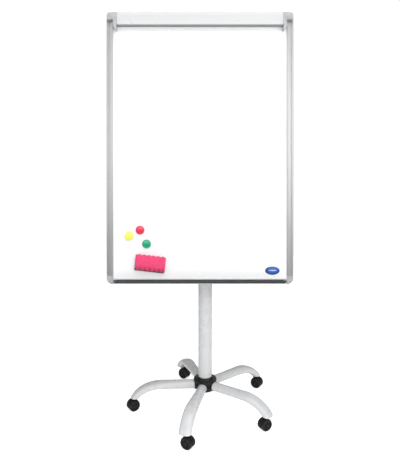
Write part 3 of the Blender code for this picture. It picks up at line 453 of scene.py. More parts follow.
FINISHES = {
    "white_paint": painted("white_powder_coat", WHITE),
    # Painted shade: a near-black for the insides of the tubes, standing in for the shade there.
    "tube_inside_shade": moulded("tube_inside_painted_shade", (0.05, 0.05, 0.05), 0.7),
    "collar_plastic": moulded("grey_white_bush", (0.60, 0.60, 0.60), 0.42, worn=1.08),
    "black_plastic": moulded("black_moulded", BLACK, 0.38, worn=2.6, specular=0.28),
    "tyre": moulded("black_nylon_tread", (0.008, 0.008, 0.008), 0.50, 700, 0.0001, 2.6, 0.3),
    "hood": moulded("black_hood", (0.006, 0.006, 0.006), 0.36, worn=2.2, specular=0.25),
    "zinc_steel": plated("zinc_plate"),
    "aluminium": brushed("anodised_profile", (0.46, 0.465, 0.47), 0.42),
    "aluminium_x": brushed("anodised_rail", (0.72, 0.725, 0.73), along="X"),
    "cap_plastic": moulded("grey_corner_cap", (0.37, 0.375, 0.38), 0.42, worn=1.2),
    # Painted light: the rail's white is a brighter copy of the clamp's white lacquer, lightened to
    # cancel the shadow that the clamp cover casts on the rail.
    "rail_white_lightened_against_shadow": painted("white_rail_lacquer_lightened_against_shadow", (0.93, 0.935, 0.94), 0.30, 0.15),
    "clamp_white": painted("white_clamp_lacquer", (0.60, 0.605, 0.61), 0.30, 0.15),
    "grip_rubber": moulded("grey_grip_rubber", (0.22, 0.22, 0.22), 0.72, 600, 0.0002, 1.3),
    "tray_plastic": moulded("charcoal_tray", (0.030, 0.030, 0.031), 0.48, worn=1.6, specular=0.35),
    "writing_lacquer": lacquered("white_writing_lacquer"),
    "fibreboard": pressed_fibre("pressed_fibre"),
    "backing": backing("grey_backing_foil"),
    "magnet_red": enamelled("red_enamel", (0.74, 0.022, 0.085)),
    "magnet_yellow": enamelled("yellow_enamel", (0.84, 0.84, 0.11)),
    "magnet_green": enamelled("green_enamel", (0.0, 0.36, 0.175)),
    "ferrite": moulded("dark_ferrite", (0.03, 0.03, 0.032), 0.6, 900, 0.0001, 2.0),
    "eraser_foam": foamed("pink_foam", (0.78, 0.050, 0.175), (0.73, 0.038, 0.14)),
    "eraser_felt": felted("dark_felt", (0.045, 0.03, 0.035)),
    "badge_blue": enamelled("badge_blue", (0.020, 0.11, 0.52), 0.2),
    "badge_rim": enamelled("badge_rim", (0.005, 0.022, 0.09), 0.25),
    "badge_bar": enamelled("badge_bar", (0.42, 0.54, 0.80), 0.3),
}


# Shapes. Each of these returns a mesh.


def evaluated_mesh(obj):
    """The object's mesh after its modifiers, with its seams welded. The object is removed."""
    bpy.context.view_layer.update()
    graph = bpy.context.evaluated_depsgraph_get()
    mesh = bpy.data.meshes.new_from_object(obj.evaluated_get(graph))
    bm = bmesh.new()
    bm.from_mesh(mesh)
    bmesh.ops.remove_doubles(bm, verts=bm.verts, dist=0.000005)
    bm.to_mesh(mesh)
    bm.free()
    bpy.data.objects.remove(obj, do_unlink=True)
    return mesh


def loose(name, data):
    """A working object, to be read back and removed."""
    obj = bpy.data.objects.new(name, data)
    bpy.context.scene.collection.objects.link(obj)
    return obj


AXIS_TURNS = {
    "X": Matrix.Rotation(math.pi / 2, 4, "Y"),
    "Y": Matrix.Rotation(-math.pi / 2, 4, "X"),
    "Z": Matrix.Identity(4),
}


def box(low, high, edge=0.0, segments=3):
    low, high = Vector(low), Vector(high)
    bm = bmesh.new()
    place = Matrix.Translation((low + high) / 2) @ Matrix.Diagonal((*(high - low), 1))
    bmesh.ops.create_cube(bm, size=1, matrix=place)
    if edge:
        bmesh.ops.bevel(
            bm, geom=bm.edges[:], offset=edge, segments=segments, profile=0.5, affect="EDGES"
        )
    mesh = bpy.data.meshes.new("box")
    bm.to_mesh(mesh)
    bm.free()
    return mesh


def turned(profile, steps=96, closed=True):
    """A profile of (radius, height) turned round Z, listed down its outer side."""
    mesh = bpy.data.meshes.new("turned")
    count = len(profile)
    edges = [(i, (i + 1) % count) for i in range(count if closed else count - 1)]
    mesh.from_pydata([(radius, 0, height) for radius, height in profile], edges, [])
    obj = loose("turned", mesh)
    screw = obj.modifiers.new("turn", "SCREW")
    screw.steps = steps
    screw.render_steps = steps
    screw.use_merge_vertices = True
    screw.merge_threshold = 0.00002
    return evaluated_mesh(obj)


def rod(axis, centre, radius, start, end, sides=48, edge=0.0):
    """A cylinder along an axis through centre, its ends rounded by edge."""
    half = (end - start) / 2
    profile = [(0.0, half)]
    if edge:
        for step in range(4):
            turn = math.pi / 2 * step / 3
            across = radius - edge + edge * math.sin(turn)
            profile.append((across, half - edge + edge * math.cos(turn)))
        profile += [(r, -z) for r, z in reversed(profile)]
    else:
        profile += [(radius, half), (radius, -half), (0.0, -half)]
    mesh = turned(profile, sides, closed=False)
    middle = Vector(centre)
    middle["XYZ".index(axis)] = (start + end) / 2
    mesh.transform(Matrix.Translation(middle) @ AXIS_TURNS[axis])
    return mesh


def rounded(corners, pieces=6):
    """An outline from (x, y, radius) corners, each rounded by an arc of that many pieces."""
    outline = []
    for i, (x, y, radius) in enumerate(corners):
        corner = Vector((x, y))
        if radius <= 0:
            outline.append(corner)
            continue
        before = (Vector(corners[i - 1][:2]) - corner).normalized()
        after = (Vector(corners[(i + 1) % len(corners)][:2]) - corner).normalized()
        half = before.angle(after) / 2
        centre = corner + (before + after).normalized() * (radius / math.sin(half))
        first = corner + before * (radius / math.tan(half)) - centre
        last = corner + after * (radius / math.tan(half)) - centre
        sweep = first.angle_signed(last)
        for step in range(pieces + 1):
            outline.append(centre + Matrix.Rotation(-sweep * step / pieces, 2) @ first)
    return outline


def extruded(outlines, start, end, axis, edge=0.0, steps=3):
    """Flat outlines, the later ones holes in the first, extruded along an axis.

    Their points are (Y, Z) for axis X, (X, Z) for axis Y and (X, Y) for axis Z. The two ends
    are rounded by edge.
    """
    curve = bpy.data.curves.new("extruded", "CURVE")
    curve.dimensions = "2D"
    curve.fill_mode = "BOTH"
    curve.extrude = (end - start) / 2 - edge
    if edge:
        curve.bevel_depth = edge
        curve.bevel_resolution = steps
        curve.offset = -edge
    for outline in outlines:
        spline = curve.splines.new("POLY")
        spline.points.add(len(outline) - 1)
        for point, (u, v) in zip(spline.points, outline):
            point.co = (u, v, 0, 1)
        spline.use_cyclic_u = True
    mesh = evaluated_mesh(loose("extruded", curve))
    columns = {
        "X": (Vector((0, 1, 0)), Vector((0, 0, 1)), Vector((1, 0, 0))),
        "Y": (Vector((1, 0, 0)), Vector((0, 0, 1)), Vector((0, -1, 0))),
        "Z": (Vector((1, 0, 0)), Vector((0, 1, 0)), Vector((0, 0, 1))),
    }[axis]
    turn = Matrix(columns).transposed().to_4x4()
    lift = Vector((0, 0, 0))
    lift["XYZ".index(axis)] = (start + end) / 2
    mesh.transform(Matrix.Translation(lift) @ turn)
    return mesh


def lofted(rings):
    """A closed skin over rings of equally many points, with flat ends."""
    bm = bmesh.new()
    loops = [[bm.verts.new(point) for point in ring] for ring in rings]
    count = len(rings[0])
    for lower, upper in zip(loops, loops[1:]):
        for i in range(count):
            j = (i + 1) % count
            bm.faces.new((lower[i], lower[j], upper[j], upper[i]))
    bm.faces.new(reversed(loops[0]))
    bm.faces.new(loops[-1])
    bmesh.ops.recalc_face_normals(bm, faces=bm.faces)
    mesh = bpy.data.meshes.new("lofted")
    bm.to_mesh(mesh)
    bm.free()
    return mesh


def combined(mesh, steps):
    """The mesh after Boolean steps, each an operation and the mesh that it uses."""
    obj = loose("combined", mesh)
    tools = []
    for operation, other in steps:
        tool = loose("tool", other)
        modifier = obj.modifiers.new(operation.lower(), "BOOLEAN")
        modifier.operation = operation
        modifier.object = tool
        tools.append(tool)
    result = evaluated_mesh(obj)
    for tool in tools:
        bpy.data.objects.remove(tool, do_unlink=True)
    return result


def softened(mesh, width, segments=2, degrees=30):
    """The mesh with its sharp edges rounded."""
    obj = loose("softened", mesh)
    modifier = obj.modifiers.new("soften", "BEVEL")
    modifier.width = width
    modifier.segments = segments
    modifier.limit_method = "ANGLE"
    modifier.angle_limit = math.radians(degrees)
    return evaluated_mesh(obj)


def mirrored_x(mesh):
    """The mesh's mirror image on the other side of X = 0."""
    copy = mesh.copy()
    copy.transform(Matrix.Diagonal((-1, 1, 1, 1)))
    copy.flip_normals()
    return copy


def add(name, mesh, finish, body, place, replaces=()):
    """Puts a mesh in the scene as a piece on a body, with its finish."""
    mesh.materials.clear()
    mesh.materials.append(FINISHES[finish])
    mesh.shade_smooth()
    mesh.set_sharp_from_angle(angle=SMOOTH_ANGLE)
    obj = bpy.data.objects.new(name, mesh)
    obj.matrix_world = place
    pieces.objects.link(obj)
    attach(obj, body)
    if replaces:
        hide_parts(*replaces)
    return obj


def add_pair(name, right, finish, nodes):
    """A right-hand piece of the board and its mirror image on the left."""
    for side, mesh in (("left", mirrored_x(right)), ("right", right)):
        add(f"{name}_{side}", mesh, finish, "board", BOARD, (f"{nodes}_{side}",))


def screw_mesh(radius=0.0034, height=0.0018):
    """A pan head with a cross recess, standing on Z = 0."""
    profile = [(0.0, height)]
    for step in range(1, 6):
        turn = math.pi / 2 * step / 5
        profile.append((radius * math.sin(turn), height * (0.35 + 0.65 * math.cos(turn))))
    profile += [(radius, 0.0), (0.0, 0.0)]
    arm, half, floor = radius * 0.55, radius * 0.13, height * 0.35
    cross = [
        ("DIFFERENCE", box((-arm, -half, floor), (arm, half, 2 * height))),
        ("DIFFERENCE", box((-half, -arm, floor), (half, arm, 2 * height))),
    ]
    return combined(turned(profile, 32, closed=False), cross)


FACING_BACK = Matrix.Rotation(-math.pi / 2, 4, "X")
FACING_FRONT = Matrix.Rotation(math.pi / 2, 4, "X")


# Base.


def leg_angle(i):
    """Legs follow each other clockwise, seen from above."""
    return FIRST_LEG_ANGLE - i * math.tau / LEG_COUNT


def leg_station(along):
    """(radius, height, turn) of the leg's centreline, from 0 at the hub to 7/8 at its last bend."""
    if along < 0.5:
        marks = (LEG_START, 0.065, 0.115, LEG_BEND_START - 0.020)
        last = LEG_BEND_START + LEG_BEND_RADIUS * math.sin(math.radians(4))
        marks += (last,)
        step = along * 8
        i = min(int(step), 3)
        r = marks[i] + (marks[i + 1] - marks[i]) * (step - i)
        turn = math.asin(max(r - LEG_BEND_START, 0) / LEG_BEND_RADIUS)
    else:
        start = math.radians(4)
        turn = start + (LEG_END_TURN - start) * (along - 0.5) / 0.375
        r = LEG_BEND_START + LEG_BEND_RADIUS * math.sin(turn)
    return r, LEG_Z - LEG_BEND_RADIUS * (1 - math.cos(turn)), turn


def leg_size(along):
    """Half width, half height and squareness of the leg's section."""
    flatten = min(max((along - 0.10) / 0.50, 0), 1)
    flatten = flatten * flatten * (3 - 2 * flatten)
    taper = max(along - 0.65, 0) / 0.35
    half_width = LEG_ROUND_RADIUS + 0.0068 * flatten - 0.0010 * taper
    half_height = LEG_ROUND_RADIUS - 0.0035 * flatten - 0.0005 * taper
    return half_width, half_height, 2.0 + 0.55 * flatten


def leg_section(along, inset, side):
    """A point of the section: across the leg, and up from its centreline."""
    half_width, half_height, power = leg_size(along)
    angle = math.tau * side / LEG_SIDES
    cos, sin = math.cos(angle), math.sin(angle)
    across = math.copysign(abs(cos) ** (2 / power), cos) * (half_width - inset)
    up = math.copysign(abs(sin) ** (2 / power), sin) * (half_height - inset)
    return across, up


def leg_rings(inset, end_z):
    """Sections along the leg, which lies along +X, the last one cut level at end_z."""
    rings = []
    for step in range(LEG_STATIONS + 1):
        along = 0.875 * step / LEG_STATIONS
        r, z, turn = leg_station(along)
        if step == 0:
            r += inset
        ring = []
        for side in range(LEG_SIDES):
            across, up = leg_section(along, inset, side)
            ring.append(Vector((r + up * math.sin(turn), across, z + up * math.cos(turn))))
        rings.append(ring)
    half_height = leg_size(1)[1]
    slope = LEG_END_TURN + math.radians(8)
    end_r = r + (z - end_z) / math.tan(slope)
    stretch = (half_height / math.sin(slope) - inset) / (half_height - inset)
    last = []
    for side in range(LEG_SIDES):
        across, up = leg_section(1, inset, side)
        last.append(Vector((end_r + up * stretch, across, end_z)))
    for share in (0.33, 0.66):
        rings.append([a.lerp(b, share) for a, b in zip(rings[LEG_STATIONS], last)])
    rings.append(last)
    return rings


def leg_mesh():
    """A bent tube, flattened towards its open end, with the caster's socket welded inside."""
    hollow = lofted(leg_rings(LEG_WALL, LEG_END_Z - 0.004))
    centre = (STEM_CIRCLE_RADIUS, 0, 0)
    socket = rod("Z", centre, LEG_SOCKET_RADIUS, LEG_END_Z - 0.008, LEG_Z, 36)
    hollow = combined(hollow, [("DIFFERENCE", socket)])
    bore = rod("Z", centre, LEG_BORE_RADIUS, LEG_END_Z - 0.008, STEM_TOP + 0.0005, 36)
    leg = combined(lofted(leg_rings(0, LEG_END_Z)), [("DIFFERENCE", hollow), ("DIFFERENCE", bore)])
    return leg


def hub_mesh():
    """The moulded hub: a lip round the column, a flange with a rolled edge and five sockets."""
    bore = LOWER_TUBE_RADIUS + GAP
    profile = rounded([
        (bore, HUB_LIP_TOP, 0.0004), (bore + 0.0032, HUB_LIP_TOP, 0.0012),
        (bore + 0.0040, HUB_LIP_TOP - 0.0020, 0.0010), (bore + 0.0080, HUB_TOP + 0.0030, 0.0020),
        (HUB_FLANGE_RADIUS - 0.0040, HUB_TOP + 0.0004, 0.0012),
        (HUB_FLANGE_RADIUS, HUB_TOP - 0.0010, 0.0022),
        (HUB_FLANGE_RADIUS, HUB_TOP - 0.0095, 0.0016),
        (HUB_FLANGE_RADIUS - 0.0025, HUB_TOP - 0.0125, 0.0010),
        (HUB_BODY_RADIUS + 0.0020, HUB_TOP - 0.0150, 0.0020),
        (HUB_BODY_RADIUS, HUB_TOP - 0.0220, 0.0030), (HUB_BODY_RADIUS, HUB_BOTTOM, 0.0022),
        (0.0330, HUB_BOTTOM, 0.0008), (0.0320, HUB_BOTTOM + 0.0015, 0.0008),
        (0.0250, HUB_BOTTOM + 0.0015, 0.0008), (0.0240, HUB_BOTTOM, 0.0008),
        (0.0060, HUB_BOTTOM, 0.0004), (0.0060, HUB_BOTTOM + HUB_FLOOR, 0),
        (bore, HUB_BOTTOM + HUB_FLOOR, 0),
    ], 4)
    sleeves, sockets = [], []
    for i in range(LEG_COUNT):
        turn = Matrix.Rotation(leg_angle(i), 4, "Z")
        at = (0, 0, LEG_Z)
        sleeve = rod("X", at, HUB_SLEEVE_RADIUS, 0.0300, HUB_SLEEVE_END, 64)
        socket = rod("X", at, LEG_ROUND_RADIUS + 2 * GAP, LEG_START - GAP, 0.060, 64)
        for mesh, steps in ((sleeve, sleeves), (socket, sockets)):
            mesh.transform(turn)
            steps.append(("UNION" if mesh is sleeve else "DIFFERENCE", mesh))
    return softened(combined(turned(profile, 120), sleeves + sockets), 0.0006, 2, 50)


def hub_bolt_mesh():
    """A bolt with its wide washer, under the hub."""
    top = HUB_BOTTOM - GAP
    washer = rod("Z", (0, 0, 0), 0.022, top - 0.0025, top, 64, 0.0005)
    head = softened(rod("Z", (0, 0, 0), 0.0095, top - 0.009, top - 0.002, 6), 0.0006)
    shank = rod("Z", (0, 0, 0), 0.005, top - 0.001, HUB_BOTTOM + 0.028, 24)
    return combined(washer, [("UNION", head), ("UNION", shank)])


def build_base():
    add("hub_shell", hub_mesh(), "black_plastic", "base", COLUMN, ("hub",))
    bolt = hub_bolt_mesh()
    add("hub_centre_bolt", bolt, "zinc_steel", "base", COLUMN, ("hub_bolt",))
    leg = leg_mesh()
    for i, place in enumerate(CASTER_HEADINGS):
        turn = COLUMN @ Matrix.Rotation(leg_angle(i), 4, "Z")
        name = f"{place}_leg_tube"
        add(name, leg.copy(), "white_paint", "base", turn, (f"{place}_leg",))


# Casters.


def stem_mesh():
    collar_bottom = HOOD_TOP + GAP
    collar_top = LEG_END_Z - GAP
    profile = rounded([
        (STEM_RADIUS, STEM_TOP, 0.0012), (STEM_RADIUS, STEM_TOP - 0.0035, 0),
        (STEM_NECK_RADIUS, STEM_TOP - 0.0040, 0), (STEM_NECK_RADIUS, STEM_TOP - 0.0055, 0),
        (STEM_RADIUS, STEM_TOP - 0.0060, 0), (STEM_RADIUS, collar_top, 0),
        (STEM_COLLAR_RADIUS, collar_top, 0.0002), (STEM_COLLAR_RADIUS, collar_bottom, 0.0002),
        (STEM_TIP_RADIUS, collar_bottom, 0), (STEM_TIP_RADIUS, STEM_BOTTOM, 0.0006),
        (0.0, STEM_BOTTOM, 0), (0.0, STEM_TOP, 0),
    ], 3)
    return turned(profile, 36)


def hood_mesh():
    """A web between the wheels, a mudguard over them and a boss."""
    axle = Vector((CASTER_TRAIL, WHEEL_RADIUS))
    inner, outer = WHEEL_RADIUS + 0.0008, WHEEL_RADIUS + 0.0020

    def arc(radius, start, end, count):
        angles = [math.radians(start + (end - start) * i / count) for i in range(count + 1)]
        return [axle + radius * Vector((math.cos(a), math.sin(a))) for a in angles]

    arch = arc(outer, 28, 176, 40) + list(reversed(arc(inner, 28, 176, 40)))
    web = arc(inner + 0.001, 10, 194, 32)
    web += [axle + Vector(at) for at in ((-0.012, -0.011), (0.0, -0.0115), (0.010, -0.009))]
    guard_half = WHEEL_START + WHEEL_WIDTH / 2
    guard = extruded([arch], -guard_half, guard_half, "Y", 0.0006, 2)
    plate = extruded([web], -WEB_HALF, WEB_HALF, "Y")
    under = WHEEL_RADIUS * 2 + 0.0005
    outer, edge = HOOD_BOSS_RADIUS, 0.0006
    boss_profile = [(0.0, HOOD_TOP), (outer - edge, HOOD_TOP), (outer, HOOD_TOP - edge)]
    boss_profile += [(outer, under), (0.0, under)]
    axle_place = (CASTER_TRAIL, 0, WHEEL_RADIUS)
    steps = [
        ("UNION", plate), ("UNION", turned(boss_profile, 48, closed=False)),
        ("DIFFERENCE", rod("Z", (0, 0, 0), STEM_TIP_RADIUS + GAP, STEM_BOTTOM - GAP, 0.055, 32)),
        ("DIFFERENCE", rod("Y", axle_place, 0.0034, -0.010, 0.010, 32)),
    ]
    return softened(combined(guard, steps), 0.0005, 2, 40)


def wheel_mesh():
    """A wheel turned round Z, from its inner face at 0 to its dished, ribbed outer face."""
    width, radius = WHEEL_WIDTH, WHEEL_RADIUS
    dish = width - 0.0040
    profile = rounded([
        (0.0, width - 0.0010, 0), (0.0060, width - 0.0010, 0.0012), (0.0068, dish, 0.0006),
        (radius - 0.0072, dish, 0.0008), (radius - 0.0062, width, 0.0010),
        (radius - 0.0018, width, 0.0009), (radius, width - 0.0018, 0.0012),
        (radius, width * 0.56, 0), (radius - 0.0004, width * 0.54, 0),
        (radius - 0.0004, width * 0.48, 0), (radius, width * 0.46, 0), (radius, 0.0, 0.0012),
        (0.0033, 0.0, 0), (0.0033, dish - 0.001, 0), (0.0, dish - 0.001, 0),
    ], 4)
    ribs = []
    for i in range(WHEEL_RIBS):
        rib = box((0.0055, -0.0009, dish - 0.0005), (radius - 0.0055, 0.0009, width - 0.0018))
        rib.transform(Matrix.Rotation(math.tau * i / WHEEL_RIBS, 4, "Z"))
        ribs.append(("UNION", rib))
    return combined(turned(profile, 64, closed=False), ribs)


def build_casters():
    half_axle = WHEEL_START + WHEEL_WIDTH - 0.0060
    axle_at = (CASTER_TRAIL, 0, WHEEL_RADIUS)
    stem, hood, wheel = stem_mesh(), hood_mesh(), wheel_mesh()
    axle = rod("Y", axle_at, 0.0030, -half_axle, half_axle, 24, 0.0005)
    for i, (place, heading) in enumerate(CASTER_HEADINGS.items()):
        name, body = f"{place}_caster", f"{place}_caster"
        swivel = COLUMN @ Matrix.Rotation(leg_angle(i), 4, "Z")
        centre = swivel @ Vector((STEM_CIRCLE_RADIUS, 0, 0))
        spot = Matrix.Translation(centre) @ Matrix.Rotation(heading, 4, "Z")
        steel = "zinc_steel"
        add(f"{name}_pin", stem.copy(), steel, "base", spot, (f"{name}_stem",))
        nodes = (f"{name}_hood",)
        add(f"{name}_guard", hood.copy(), "hood", body, spot, nodes)
        add(f"{name}_shaft", axle.copy(), steel, body, spot, (f"{name}_axle",))
        for side, facing in (("right", -1), ("left", 1)):
            hub_at = Matrix.Translation((CASTER_TRAIL, facing * WHEEL_START, WHEEL_RADIUS))
            turn = hub_at @ Matrix.Rotation(-facing * math.pi / 2, 4, "X")
            body, nodes = f"{place}_wheel_{side}", (f"{name}_wheel_{side}",)
            roller = f"{place}_roller_{side}"
            add(roller, wheel.copy(), "tyre", body, spot @ turn, nodes)


# Column.


def lower_tube_mesh():
    bottom = HUB_BOTTOM + HUB_FLOOR + GAP
    inner = LOWER_TUBE_RADIUS - LOWER_TUBE_WALL
    top = LOWER_TUBE_TOP - GAP
    profile = rounded([
        (LOWER_TUBE_RADIUS, top, 0.0006), (LOWER_TUBE_RADIUS, bottom, 0.0006),
        (0.0056, bottom, 0), (0.0056, bottom + 0.003, 0), (inner, bottom + 0.003, 0),
        (inner, top, 0.0003),
    ], 3)
    return turned(profile, 128)


def collar_mesh():
    """The bush in the lower tube's mouth, ribbed round its rim, with a boss for the knob."""
    top = LOWER_TUBE_TOP + COLLAR_HEIGHT
    outer = LOWER_TUBE_RADIUS + 0.0004
    sleeve = LOWER_TUBE_RADIUS - LOWER_TUBE_WALL - GAP
    inner = UPPER_TUBE_RADIUS + GAP
    profile = rounded([
        (inner, top, 0.0005), (outer - 0.0004, top, 0.0014), (outer, top - 0.0060, 0),
        (outer - 0.0006, top - 0.0066, 0), (outer - 0.0006, top - 0.0078, 0),
        (outer, top - 0.0084, 0), (outer, LOWER_TUBE_TOP, 0.0006), (sleeve, LOWER_TUBE_TOP, 0),
        (sleeve, LOWER_TUBE_TOP - COLLAR_SLEEVE, 0), (inner, LOWER_TUBE_TOP - COLLAR_SLEEVE, 0),
    ], 4)
    centre = (0, 0, KNOB_Z)
    boss = rod("Y", centre, 0.010, 0.0265, 0.0400, 48, 0.0010)
    hole = rod("Y", centre, BOLT_HOLE_RADIUS, 0.015, 0.045, 32)
    return combined(turned(profile, 128), [("UNION", boss), ("DIFFERENCE", hole)])


def star(radius, lobes=6, points=144):
    """The outline of a star knob."""
    outline = []
    for i in range(points):
        angle = math.tau * i / points
        wave = math.cos(lobes * angle)
        reach = radius * (0.90 + 0.10 * math.copysign(abs(wave) ** 0.8, wave))
        outline.append((reach * math.cos(angle), reach * math.sin(angle)))
    return outline


def knob_steps(axis, centre, start, end):
    """A recessed ring and a raised cap on a knob's face."""
    ring = rod(axis, centre, 0.0098, end - 0.0009, end + 0.002, 64)
    cap = rod(axis, centre, 0.0088, start, end - 0.0001, 64, 0.0007)
    return [("DIFFERENCE", ring), ("UNION", cap)]


def height_knob_mesh():
    """A star knob with its stud, along +Y from the column's axis."""
    grip = extruded([star(0.0225)], 0.0440, 0.0580, "Y", 0.0022, 4)
    boss = rod("Y", (0, 0, 0), 0.011, 0.0404, 0.0450, 48)
    steps = [("UNION", boss), *knob_steps("Y", (0, 0, 0), 0.050, 0.0580)]
    return combined(grip, steps)


def upper_tube_mesh():
    inner = UPPER_TUBE_RADIUS - UPPER_TUBE_WALL
    profile = [
        (UPPER_TUBE_RADIUS, HEAD_TOP), (UPPER_TUBE_RADIUS, UPPER_TUBE_BOTTOM),
        (inner, UPPER_TUBE_BOTTOM), (inner, HEAD_TOP),
    ]
    return turned(profile, 128)


def mast_head_mesh():
    """The plug in the upper tube's top, with the lug that the hinge bolt runs through."""
    bottom = HEAD_TOP + GAP
    plug = UPPER_TUBE_RADIUS - UPPER_TUBE_WALL - GAP
    profile = rounded([
        (0.0, bottom + 0.005, 0), (UPPER_TUBE_RADIUS, bottom + 0.005, 0.0016),
        (UPPER_TUBE_RADIUS, bottom, 0.0004), (plug, bottom, 0), (plug, bottom - 0.028, 0.0008),
        (0.0, bottom - 0.028, 0),
    ], 4)
    lug = [(LUG_RADIUS, bottom + 0.002)]
    for i in range(37):
        angle = math.pi * i / 36
        lug.append((LUG_RADIUS * math.cos(angle), HINGE_Z + LUG_RADIUS * math.sin(angle)))
    lug.append((-LUG_RADIUS, bottom + 0.002))
    tongue = extruded([lug], -LUG_HALF_WIDTH, LUG_HALF_WIDTH, "X", 0.0008, 2)
    hole = rod("X", (0, 0, HINGE_Z), BOLT_HOLE_RADIUS, -0.03, 0.03, 32)
    cap = turned(profile, 96, closed=False)
    return combined(cap, [("UNION", tongue), ("DIFFERENCE", hole)])


def build_column():
    base, mast = "base", "mast"
    tube = lower_tube_mesh()
    add("column_lower", tube, "white_paint", base, COLUMN, ("lower_tube",))
    add("column_bush", collar_mesh(), "collar_plastic", base, COLUMN, ("column_collar",))
    tube = upper_tube_mesh()
    add("column_upper", tube, "white_paint", mast, COLUMN, ("upper_tube",))
    black = "black_plastic"
    knob_at = COLUMN @ Matrix.Translation((0, 0, KNOB_Z))
    body = "height_knob"
    add("height_knob_grip", height_knob_mesh(), black, body, knob_at, ("height_knob",))
    stud = rod("Y", (0, 0, 0), BOLT_RADIUS, UPPER_TUBE_RADIUS + GAP, 0.0445, 32, 0.0006)
    add("height_knob_stud", stud, "zinc_steel", body, knob_at)
    add("mast_head_plug", mast_head_mesh(), black, mast, COLUMN, ("mast_head",))


# Tilt hinge.


def tilt_bracket_mesh():
    """A U of sheet steel on the crossbar, whose two ears hold the hinge bolt."""
    inner, outer = EAR_INSIDE, EAR_OUTSIDE
    front, back = -0.0217, -0.0187
    plate_outline = rounded([
        (-outer, -0.025, 0.003), (outer, -0.025, 0.003), (outer, 0.025, 0.003),
        (-outer, 0.025, 0.003),
    ])
    plate = extruded([plate_outline], front, back, "Y", 0.0004, 2)
    outline = [(front + 0.001, -EAR_RADIUS)]
    for i in range(37):
        angle = -math.pi / 2 + math.pi * i / 36
        outline.append((EAR_RADIUS * math.cos(angle), EAR_RADIUS * math.sin(angle)))
    outline.append((front + 0.001, EAR_RADIUS))
    hole = rod("X", (0, 0, 0), BOLT_HOLE_RADIUS, -0.03, 0.03, 32)
    steps = []
    for start in (-outer + 0.0002, inner):
        ear = extruded([outline], start, start + EAR_THICKNESS - 0.0002, "X", 0.0004, 2)
        steps.append(("UNION", ear))
    return combined(plate, [*steps, ("DIFFERENCE", hole)])


def tilt_bolt_mesh():
    ear = EAR_OUTSIDE + GAP
    head = softened(rod("X", (0, 0, 0), 0.0072, -ear - 0.0055, -ear - 0.0008, 6), 0.0005)
    washer = rod("X", (0, 0, 0), 0.0074, -ear - 0.0010, -ear, 48, 0.0002)
    shank = rod("X", (0, 0, 0), BOLT_RADIUS, -ear - 0.002, ear + 0.0128, 32, 0.0005)
    return combined(head, [("UNION", washer), ("UNION", shank)])


def tilt_knob_mesh():
    ear = EAR_OUTSIDE + GAP
    start, end = ear + 0.006, ear + 0.020
    grip = extruded([star(0.0200)], start, end, "X", 0.0022, 4)
    boss = rod("X", (0, 0, 0), 0.010, ear, ear + 0.007, 48)
    thread = rod("X", (0, 0, 0), BOLT_HOLE_RADIUS, ear - 0.004, ear + 0.0135, 32)
    steps = [("UNION", boss), *knob_steps("X", (0, 0, 0), end - 0.005, end)]
    return combined(grip, [*steps, ("DIFFERENCE", thread)])


def crossbar_outlines():
    front, back, half, wall = FRAME_BACK + 0.0005, CROSSBAR_BACK, 0.020, 0.002
    skin = [(front, -half), (back, -half), (back, half), (front, half)]
    hollow = [
        (front + wall, -half + wall), (back - wall, -half + wall), (back - wall, half - wall),
        (front + wall, half - wall),
    ]
    skin = rounded([(*at, 0.003) for at in skin], 6)
    hollow = rounded([(*at, 0.0012) for at in hollow], 4)
    return skin, hollow


def build_hinge():
    zinc, black, board = "zinc_steel", "black_plastic", "board"
    add("hinge_bracket", tilt_bracket_mesh(), zinc, board, HINGE, ("tilt_bracket",))
    add("hinge_bolt", tilt_bolt_mesh(), zinc, board, HINGE, ("tilt_bolt",))
    add("hinge_knob", tilt_knob_mesh(), black, "tilt_knob", HINGE, ("tilt_knob",))
    skin, hollow = crossbar_outlines()
    half = PANEL_HALF_WIDTH
    bar = extruded([skin, hollow], -half, half, "X")
    add("back_crossbar", bar, "aluminium_x", board, BOARD, ("crossbar",))
    screw = screw_mesh()
    for side, sign in (("left", -1), ("right", 1)):
        ends = sorted((sign * (half - 0.004), sign * (half + 0.0004)))
        plug = extruded([hollow], *ends, "X")
        add(f"crossbar_plug_{side}", plug, black, board, BOARD)
        for level, z in (("low", -0.0095), ("high", 0.0095)):
            at = Matrix.Translation((sign * 0.3305, CROSSBAR_BACK, z)) @ FACING_BACK
            add(f"crossbar_screw_{side}_{level}", screw.copy(), zinc, board, BOARD @ at)
            at = Matrix.Translation((sign * 0.0095, -0.0187, 2.25 * z)) @ FACING_BACK
            add(f"bracket_screw_{side}_{level}", screw.copy(), zinc, board, HINGE @ at)


# Board.


def panel_clearance():
    """The space that the panel takes, with the slots' play round it."""
    low = (-SLOT_SIDE, SLOT_FRONT, BOARD_BOTTOM + 0.0095)
    high = (SLOT_SIDE, SLOT_BACK, BOARD_TOP - 0.006)
    return box(low, high)


